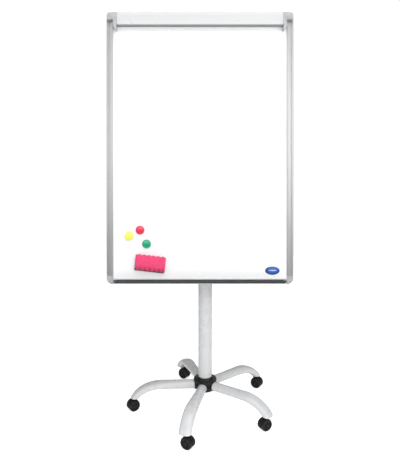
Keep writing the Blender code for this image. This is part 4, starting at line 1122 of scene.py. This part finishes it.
def side_profile_mesh():
    """The right-hand frame extrusion: a channel round the panel's edge, grooved on its face."""
    outer = HALF_WIDTH
    inner = outer - FRAME_FACE
    groove = outer - 0.0092
    outline = rounded([
        (inner, FRAME_FRONT, 0.0009), (groove - 0.0016, FRAME_FRONT, 0.0003),
        (groove - 0.0012, FRAME_FRONT + 0.0020, 0.0003),
        (groove + 0.0012, FRAME_FRONT + 0.0020, 0.0003), (groove + 0.0016, FRAME_FRONT, 0.0003),
        (outer - 0.0012, FRAME_FRONT + 0.0002, 0.0010), (outer, FRAME_FRONT + 0.0018, 0.0010),
        (outer, -0.0545, 0.0002), (outer - 0.0005, -0.0541, 0.0002),
        (outer - 0.0005, -0.0515, 0.0002), (outer, -0.0511, 0.0002), (outer, FRAME_BACK, 0.0030),
        (outer - 0.0100, FRAME_BACK, 0.0002), (outer - 0.0104, FRAME_BACK - 0.0006, 0.0002),
        (outer - 0.0118, FRAME_BACK - 0.0006, 0.0002), (outer - 0.0122, FRAME_BACK, 0.0002),
        (inner, FRAME_BACK, 0.0009), (inner, SLOT_BACK, 0), (SLOT_SIDE, SLOT_BACK, 0),
        (SLOT_SIDE, SLOT_FRONT, 0), (inner, SLOT_FRONT, 0),
    ], 4)
    low = BOARD_BOTTOM + CORNER_CAP_HEIGHT + GAP
    high = BOARD_TOP - CAP_CORNER_HEIGHT - GAP
    return extruded([outline], low, high, "Z")


def bottom_rail_mesh():
    top = BOARD_BOTTOM + 0.022
    floor = BOARD_BOTTOM + 0.0095
    outline = rounded([
        (FRAME_FRONT, BOARD_BOTTOM, 0.0020), (FRAME_BACK, BOARD_BOTTOM, 0.0020),
        (FRAME_BACK, top, 0.0008), (SLOT_BACK, top, 0), (SLOT_BACK, floor, 0),
        (SLOT_FRONT, floor, 0), (SLOT_FRONT, top, 0), (FRAME_FRONT, top, 0.0010),
    ], 5)
    half = HALF_WIDTH - FRAME_FACE - GAP
    return extruded([outline], -half, half, "X")


def corner_cap_mesh():
    """The right-hand bottom corner, rounded, with a rib across its face."""
    outer = HALF_WIDTH
    inner = outer - FRAME_FACE
    top = BOARD_BOTTOM + CORNER_CAP_HEIGHT
    outline = rounded([
        (inner, BOARD_BOTTOM, 0.0020), (outer, BOARD_BOTTOM, CORNER_CAP_RADIUS),
        (outer, top, 0.0020), (inner, top, 0.0020),
    ], 18)
    front = FRAME_FRONT - 0.0005
    cap = extruded([outline], front, FRAME_BACK, "Y", 0.0014, 4)
    rib_low = Vector((inner + 0.0040, BOARD_BOTTOM + 0.0080))
    rib_high = Vector((outer - 0.0060, BOARD_BOTTOM + 0.0250))
    along = (rib_high - rib_low).normalized()
    across = Vector((-along.y, along.x)) * 0.0019
    rib_outline = [rib_low - across, rib_high - across, rib_high + across, rib_low + across]
    rib_outline = rounded([(*at, 0.0016) for at in rib_outline], 5)
    rib = extruded([rib_outline], front - 0.0009, front + 0.002, "Y", 0.0007, 3)
    return combined(cap, [("UNION", rib), ("DIFFERENCE", panel_clearance())])


def build_frame():
    board = "board"
    metal, cap = "aluminium", "cap_plastic"
    add_pair("frame_side", side_profile_mesh(), metal, "side_profile")
    rail = bottom_rail_mesh()
    add("frame_bottom", rail, "aluminium_x", board, BOARD, ("bottom_rail",))
    add_pair("frame_corner", corner_cap_mesh(), cap, "corner_cap")
    foil = box(
        (-PANEL_HALF_WIDTH, PANEL_BACK + 0.0001, BOARD_BOTTOM + 0.010),
        (PANEL_HALF_WIDTH, PANEL_BACK + 0.0004, BOARD_TOP - 0.0065),
        0.0001,
        1,
    )
    add("panel_backing", foil, "backing", board, BOARD)
    for name in ("writing_sheet", "core_board"):
        finish = "writing_lacquer" if name == "writing_sheet" else "fibreboard"
        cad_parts[name].material_slots[0].material = FINISHES[finish]
    screw = screw_mesh(0.0030, 0.0014)
    for side, sign in (("left", -1), ("right", 1)):
        for level, z in (("low", BOARD_BOTTOM + 0.016), ("high", BOARD_TOP - 0.018)):
            at = Matrix.Translation((sign * 0.3375, FRAME_BACK, z)) @ FACING_BACK
            name = f"corner_screw_{side}_{level}"
            add(name, screw.copy(), "zinc_steel", board, BOARD @ at)


def pen_tray_mesh():
    """A shallow trough, open at the top, with slanted ends and rolled edges."""
    half, slant = TRAY_HALF_LENGTH, TRAY_SLANT
    outline = rounded([
        (-half + slant, TRAY_BOTTOM, 0.0022), (half - slant, TRAY_BOTTOM, 0.0022),
        (half, TRAY_TOP, 0.0008), (-half, TRAY_TOP, 0.0008),
    ], 5)
    back = FRAME_FRONT - GAP
    body = extruded([outline], TRAY_FRONT, back, "Y", 0.0016, 4)
    pocket_half = half - slant - TRAY_WALL
    pocket = box(
        (-pocket_half, TRAY_FRONT + TRAY_WALL, TRAY_BOTTOM + TRAY_WALL),
        (pocket_half, back - TRAY_WALL, TRAY_TOP + 0.020),
        0.0015,
    )
    return softened(combined(body, [("DIFFERENCE", pocket)]), 0.0004, 2, 45)


# Paper clamp.


def clamp_rail_mesh():
    """The fixed rail over the panel's top edge, with a rib that the pegs slide on."""
    front, inner = SLOT_FRONT - 0.0017, SLOT_FRONT + 0.0002
    top, under = BOARD_TOP - 0.0030, BOARD_TOP - 0.0060
    bottom = BOARD_TOP - CLAMP_RAIL_HEIGHT
    rib_z = BOARD_TOP - PEG_BELOW_TOP
    lip_back, lip_front = SLOT_BACK + 0.0020, SLOT_BACK
    outline = rounded([
        (front, bottom + 0.0032, 0.0002), (front - 0.0016, bottom + 0.0022, 0.0005),
        (front - 0.0016, bottom, 0.0007), (inner, bottom, 0.0003), (inner, under, 0),
        (lip_front, under, 0), (lip_front, BOARD_TOP - 0.030, 0.0003),
        (lip_back, BOARD_TOP - 0.030, 0.0008), (lip_back, top, 0.0008), (front, top, 0.0008),
        (front, rib_z + 0.0015, 0.0002), (front - 0.0016, rib_z + 0.0015, 0.0005),
        (front - 0.0016, rib_z - 0.0015, 0.0005), (front, rib_z - 0.0015, 0.0002),
    ], 3)
    return extruded([outline], -CLAMP_HALF_LENGTH, CLAMP_HALF_LENGTH, "X")


def clamp_cover_outline(lift=0.0):
    """The cover's section, its front face pushed out by lift."""
    front, wall = -0.0115, 0.0018
    top, bottom = 0.0055, -0.0415
    return rounded([
        (front - lift, bottom, 0.0022), (0.0, bottom, 0.0004), (0.0, bottom + wall, 0.0003),
        (front + wall, bottom + wall, 0), (front + wall, top - 0.002, 0.0042),
        (-0.0053, top - 0.002, 0), (-0.0053, -0.0035, 0.0004), (-0.0035, -0.0035, 0.0004),
        (-0.0035, top - 0.002, 0), (0.0035, top - 0.002, 0), (0.0035, -0.0005, 0.0004),
        (0.0053, -0.0005, 0.0004), (0.0053, top, 0.0018), (front - lift, top, 0.0075),
    ], 8)


def clamp_grip_mesh():
    """The rubber strip under the clamp bar's foot, which presses on the paper."""
    outline = rounded([
        (-0.0085, -0.0443, 0.0006), (0.0083, -0.0443, 0.0010), (0.0083, -0.0395, 0.0010),
        (0.0030, -0.0395, 0), (0.0006, -0.0418, 0), (-0.0085, -0.0418, 0),
    ], 4)
    half = CLAMP_HALF_LENGTH - 0.001
    return extruded([outline], -half, half, "X")


def clamp_cap_mesh():
    """The right-hand top corner: a raised face that slopes back at its top, and a pivot."""
    outer = HALF_WIDTH
    shoulder = BOARD_TOP - CAP_CORNER_HEIGHT
    foot = BOARD_TOP - CAP_HEIGHT
    outline = rounded([
        (CAP_INNER_X, foot, 0.0012), (CAP_INNER_X + 0.003, foot, 0.0012),
        (CAP_NOSE_X, BOARD_TOP - CAP_NOSE_HEIGHT, 0.0020), (CAP_NOSE_X, shoulder, 0),
        (outer - CAP_INSET, shoulder, 0.0015), (outer - CAP_INSET, BOARD_TOP, CAP_CORNER_RADIUS),
        (CAP_INNER_X, BOARD_TOP, 0.0022),
    ], 8)
    face = extruded([outline], CAP_FRONT, FRAME_FRONT - GAP, "Y")
    slope = rounded([
        (CAP_FRONT - 0.001, foot - 0.004, 0), (FRAME_BACK, foot - 0.004, 0),
        (FRAME_BACK, BOARD_TOP, 0), (CAP_SLOPE_START, BOARD_TOP, 0.0020),
        (CAP_FRONT, BOARD_TOP - CAP_SLOPE_DROP, 0.0050), (CAP_FRONT, BOARD_TOP - 0.030, 0),
        (CAP_FRONT - 0.001, BOARD_TOP - 0.031, 0),
    ], 10)
    side = extruded([slope], CAP_INNER_X - 0.004, outer + 0.004, "X")
    block_outline = rounded([
        (CAP_INNER_X, shoulder, 0.0008), (outer, shoulder, 0.0018),
        (outer, BOARD_TOP, CAP_BLOCK_RADIUS), (CAP_INNER_X, BOARD_TOP, 0.0020),
    ], 12)
    block = extruded([block_outline], FRAME_FRONT - 0.0005, FRAME_BACK, "Y", 0.0010, 3)
    at = (0, CLAMP_PIVOT.y, CLAMP_PIVOT.z)
    pivot = rod("X", at, 0.0025, CAP_INNER_X - 0.008, CAP_INNER_X + 0.002, 32, 0.0004)
    steps = [
        ("INTERSECT", side), ("UNION", block), ("DIFFERENCE", panel_clearance()),
        ("UNION", pivot),
    ]
    return softened(combined(face, steps), 0.0013, 3, 40)


def peg_mesh():
    """A peg for punched paper, with a foot grooved for the rail's rib. It points along -Y."""
    back = SLOT_FRONT - 0.0020
    foot = box((-0.007, back - 0.004, -0.007), (0.007, back, 0.007), 0.0008)
    groove = box((-0.010, back - 0.0017, -0.0019), (0.010, back + 0.002, 0.0019))
    post = rod("Y", (0, 0, 0), 0.0035, back - 0.0148, back - 0.003, 48)
    head = rod("Y", (0, 0, 0), 0.0052, back - 0.0150, back - 0.0125, 48, 0.0010)
    steps = [("DIFFERENCE", groove), ("UNION", post), ("UNION", head)]
    return combined(foot, steps)


def build_clamp():
    board, clamp, white, rail = "board", "clamp", "clamp_white", "rail_white_lightened_against_shadow"
    half, trim = CLAMP_HALF_LENGTH, CLAMP_TRIM
    add("clamp_back_rail", clamp_rail_mesh(), rail, board, BOARD, ("clamp_rail",))
    add_pair("clamp_end", clamp_cap_mesh(), "cap_plastic", "clamp_cap")
    pivot = BOARD @ Matrix.Translation(CLAMP_PIVOT)
    cover = extruded([clamp_cover_outline()], -half + trim, half - trim, "X")
    add("clamp_cover", cover, white, clamp, pivot, ("clamp_bar",))
    for side, sign in (("left", -1), ("right", 1)):
        ends = sorted((sign * (half - trim + 0.0002), sign * half))
        end = extruded([clamp_cover_outline(0.0004)], *ends, "X", 0.0002, 2)
        add(f"clamp_cover_trim_{side}", end, white, clamp, pivot)
    rubber = "grip_rubber"
    add("clamp_foot", clamp_grip_mesh(), rubber, clamp, pivot, ("clamp_grip",))
    peg = peg_mesh()
    black = "black_plastic"
    for side, x in (("left", -PEG_X), ("right", PEG_X)):
        place = BOARD @ Matrix.Translation((x, 0, BOARD_TOP - PEG_BELOW_TOP))
        body, node = f"peg_{side}", f"paper_peg_{side}"
        add(f"paper_post_{side}", peg.copy(), black, body, place, (node,))


# Magnets, eraser and badge.


def magnet_cap_mesh():
    """A round cap with a shallow crown and a turned step near its rim."""
    radius, height, start = MAGNET_RADIUS, MAGNET_THICKNESS, 0.0016
    profile = [(0.0, height)]
    crown = ((0.25, 0.0001), (0.45, 0.0003), (0.62, 0.0006), (0.76, 0.0011), (0.80, 0.0013))
    profile += [(radius * share, height - drop) for share, drop in crown]
    profile += [(radius * 0.815, height - 0.0017), (radius * 0.84, height - 0.0017)]
    rim = ((0.865, 0.0014), (0.92, 0.0020), (0.965, 0.0031), (0.99, 0.0044), (1.0, 0.0058))
    profile += [(radius * share, height - drop) for share, drop in rim]
    profile += [(radius, start), (0.0, start)]
    return turned(profile, 96, closed=False)


def eraser_mesh():
    """A foam block with six scallops along each long edge and a fluted slope to the lower one."""
    half_width = ERASER_WIDTH / 2
    left, right = -ERASER_LENGTH / 2 + 0.0030, ERASER_LENGTH / 2
    front, felt, depth, end = -ERASER_THICKNESS, -0.0030, ERASER_SCALLOP_DEPTH, 0.0030
    rings = []
    stations = 150
    for step in range(stations + 1):
        x = left + (right - left) * step / stations
        turn = math.pi * ERASER_SCALLOPS * (x - left - 0.003) / (right - left - 0.006)
        bulge = abs(math.sin(turn)) ** 0.8
        near = max(left + end - x, x - right + end, 0) / end
        pull = 1 - math.sqrt(max(1 - near * near, 0))
        top = half_width - depth * (1 - bulge) - end * pull
        bottom = 0.0022 - top
        face = front + end * pull
        lip = face + 0.0100 - 0.0022 * bulge
        break_at = -0.0125 - 0.0022 * bulge
        ring = [(top, felt), (top, face + 0.0035)]
        for i in range(1, 6):
            turn = math.pi / 2 * i / 6
            z = top - 0.0035 * (1 - math.cos(turn))
            ring.append((z, face + 0.0035 * (1 - math.sin(turn))))
        ring += [(top - 0.0035, face), (0.010, face), (-0.002, face), (break_at + 0.0022, face)]
        ring += [(break_at, face + 0.0006), (break_at - 0.0022, face + 0.0020)]
        ring += [((break_at + bottom) / 2, (face + lip) / 2 + 0.0004)]
        ring += [(bottom + 0.0022, lip - 0.0010), (bottom + 0.0007, lip + 0.0002)]
        ring += [(bottom, lip + 0.0018), (bottom, felt)]
        rings.append([Vector((x, y, z)) for z, y in ring])
    return lofted(rings)


def felt_pad_with_shade_rim_mesh():
    """The felt pad, a little wider than the foam on its left and lower sides, where its dark rim is
    painted shade on the eraser's sides away from the light.
    """
    left, right = -ERASER_LENGTH / 2, ERASER_LENGTH / 2 - 0.0020
    low, high = -ERASER_WIDTH / 2, ERASER_WIDTH / 2 - 0.0030
    corners = ((left, low), (right, low), (right, high), (left, high))
    outline = rounded([(*corner, 0.003) for corner in corners], 6)
    return extruded([outline], -0.0034, 0.0, "Y", 0.0005, 2)


def dome_mesh(half_x, half_z, start, height, sides=96, rings=7):
    """A low elliptical dome that rises along -Y from start."""
    loops = [(1.0, 0.0)]
    for i in range(rings):
        turn = math.pi / 2 * i / rings
        loops.append((0.93 * math.cos(turn) + 0.07 * (i == 0), math.sin(turn) * 0.5 + 0.5))
    made = []
    for share, rise in loops:
        ring = []
        for side in range(sides):
            angle = math.tau * side / sides
            at = (half_x * share * math.cos(angle), half_z * share * math.sin(angle))
            ring.append(Vector((at[0], start - height * rise, at[1])))
        made.append(ring)
    return lofted(made)


def on_board(x, above_bottom, turn=0.0):
    """A place on the panel's front, just clear of it."""
    at = Matrix.Translation((x, PANEL_FRONT - GAP, BOARD_BOTTOM + above_bottom))
    return BOARD @ at @ Matrix.Rotation(turn, 4, "Y")


def build_loose_pieces():
    cap = magnet_cap_mesh()
    disc = rod("Z", (0, 0, 0), MAGNET_RADIUS - 0.0012, 0.0, 0.0018, 64, 0.0003)
    for name, (x, height) in MAGNET_PLACES.items():
        place = on_board(x, height) @ FACING_FRONT
        add(f"{name}_cap", cap.copy(), name, name, place, (name,))
        add(f"{name}_disc", disc.copy(), "ferrite", name, place)
    place = on_board(*ERASER_PLACE, ERASER_TURN)
    foam = "eraser_foam"
    block = add("eraser_block", eraser_mesh(), foam, "eraser", place, ("eraser",))
    add("eraser_face", felt_pad_with_shade_rim_mesh(), "eraser_felt", "eraser", place)
    badge = on_board(*BADGE_PLACE)
    half_x, half_z = BADGE_HALF
    rim = dome_mesh(half_x, half_z, 0.0, 0.0012)
    add("badge_rim", rim, "badge_rim", "board", badge)
    field = dome_mesh(half_x - 0.0040, half_z - 0.0036, -0.0007, 0.0013)
    # The field and its bar sit up and to the right in the rim, so the dark rim shows wider on the
    # left and lower side: painted shade on the badge's side away from the light.
    inner = badge @ Matrix.Translation((0.0012, 0, 0.0008))
    add("badge_field", field, "badge_blue", "board", inner)
    bar = dome_mesh(0.0150, 0.0024, -0.0016, 0.0008)
    add("badge_bar", bar, "badge_bar", "board", inner)


build_base()
build_casters()
build_column()
build_hinge()
build_frame()
tray = pen_tray_mesh()
add("tray", tray, "tray_plastic", "board", BOARD, ("pen_tray",))
build_clamp()
build_loose_pieces()


# Floor, light and camera.


def build_floor():
    bm = bmesh.new()
    bmesh.ops.create_circle(bm, cap_ends=True, segments=64, radius=FLOOR_RADIUS)
    mesh = bpy.data.meshes.new("floor")
    bm.to_mesh(mesh)
    bm.free()
    mesh.materials.append(floored("pale_floor"))
    floor = bpy.data.objects.new("floor", mesh)
    bpy.context.scene.collection.objects.link(floor)


def build_world():
    """An even white surround for the eye, and a softer grey one for light and reflections."""
    world = bpy.data.worlds.new("studio")
    bpy.context.scene.world = world
    world.use_nodes = True
    nodes, links = world.node_tree.nodes, world.node_tree.links
    seen = nodes["Background"]
    seen.inputs["Color"].default_value = (1, 1, 1, 1)
    seen.inputs["Strength"].default_value = WORLD_SEEN
    soft = nodes.new("ShaderNodeBackground")
    soft.inputs["Strength"].default_value = WORLD_STRENGTH
    place = nodes.new("ShaderNodeTexCoord")
    split = nodes.new("ShaderNodeSeparateXYZ")
    links.new(place.outputs["Generated"], split.inputs["Vector"])
    ramp = nodes.new("ShaderNodeValToRGB")
    ramp.color_ramp.elements[0].position = 0.0
    ramp.color_ramp.elements[0].color = (0.55, 0.55, 0.55, 1)
    ramp.color_ramp.elements[1].position = 1.0
    ramp.color_ramp.elements[1].color = (0.95, 0.97, 1.0, 1)
    links.new(split.outputs["Z"], ramp.inputs["Fac"])
    links.new(ramp.outputs["Color"], soft.inputs["Color"])
    ray = nodes.new("ShaderNodeLightPath")
    mix = nodes.new("ShaderNodeMixShader")
    links.new(ray.outputs["Is Camera Ray"], mix.inputs["Fac"])
    links.new(soft.outputs["Background"], mix.inputs[1])
    links.new(seen.outputs["Background"], mix.inputs[2])
    links.new(mix.outputs["Shader"], nodes["World Output"].inputs["Surface"])


def aimed(location, target):
    """A placement at location whose -Z axis points at target."""
    turn = (Vector(target) - Vector(location)).to_track_quat("-Z", "Y")
    return Matrix.Translation(location) @ turn.to_matrix().to_4x4()


def area_light(name, location, target, width, height, power):
    """A soft panel. The low one only fills, so that it leaves no reflection of its own."""
    light = bpy.data.lights.new(name, "AREA")
    light.shape = "RECTANGLE"
    light.size = width
    light.size_y = height
    light.energy = power
    obj = bpy.data.objects.new(name, light)
    obj.matrix_world = aimed(location, target)
    obj.visible_camera = False
    obj.visible_glossy = name != "front_low"
    bpy.context.scene.collection.objects.link(obj)


WORLD_STRENGTH = 0.42
WORLD_SEEN = 1.05
FLOOR_RADIUS = 2.6
LIGHTS = (
    ("key_right", (2.4, -2.5, 1.9), (0.0, 0.0, 0.7), 1.4, 1.6, 30),
    ("fill_left", (-2.6, -2.2, 1.6), (0.0, 0.0, 0.7), 1.2, 1.6, 15),
    ("overhead", (0.2, -0.8, 3.6), (0.0, 0.0, 0.2), 2.6, 2.0, 46),
    ("front_panel", (0.2, -3.4, 2.6), (0.0, 0.0, 1.1), 4.0, 1.8, 44),
    ("front_low", (0.7, -2.8, 0.7), (0.0, 0.0, 0.6), 2.2, 0.9, 13),
    ("rim_back", (1.4, 2.4, 2.1), (0.0, 0.0, 0.6), 1.6, 1.6, 6),
)


def build_light():
    for light in LIGHTS:
        area_light(*light)


CAMERA_AT = (0.0, -2.097, 1.227)
CAMERA_PITCH = math.radians(90 - 12.2)
CAMERA_LENS = 43.35


def build_camera():
    data = bpy.data.cameras.new("camera")
    data.lens = CAMERA_LENS
    data.sensor_width = 36
    data.sensor_fit = "AUTO"
    camera = bpy.data.objects.new("camera", data)
    camera.location = CAMERA_AT
    camera.rotation_euler = (CAMERA_PITCH, 0, 0)
    bpy.context.scene.collection.objects.link(camera)
    bpy.context.scene.camera = camera


build_floor()
build_world()
build_light()
build_camera()
bpy.context.scene.view_settings.view_transform = "Standard"
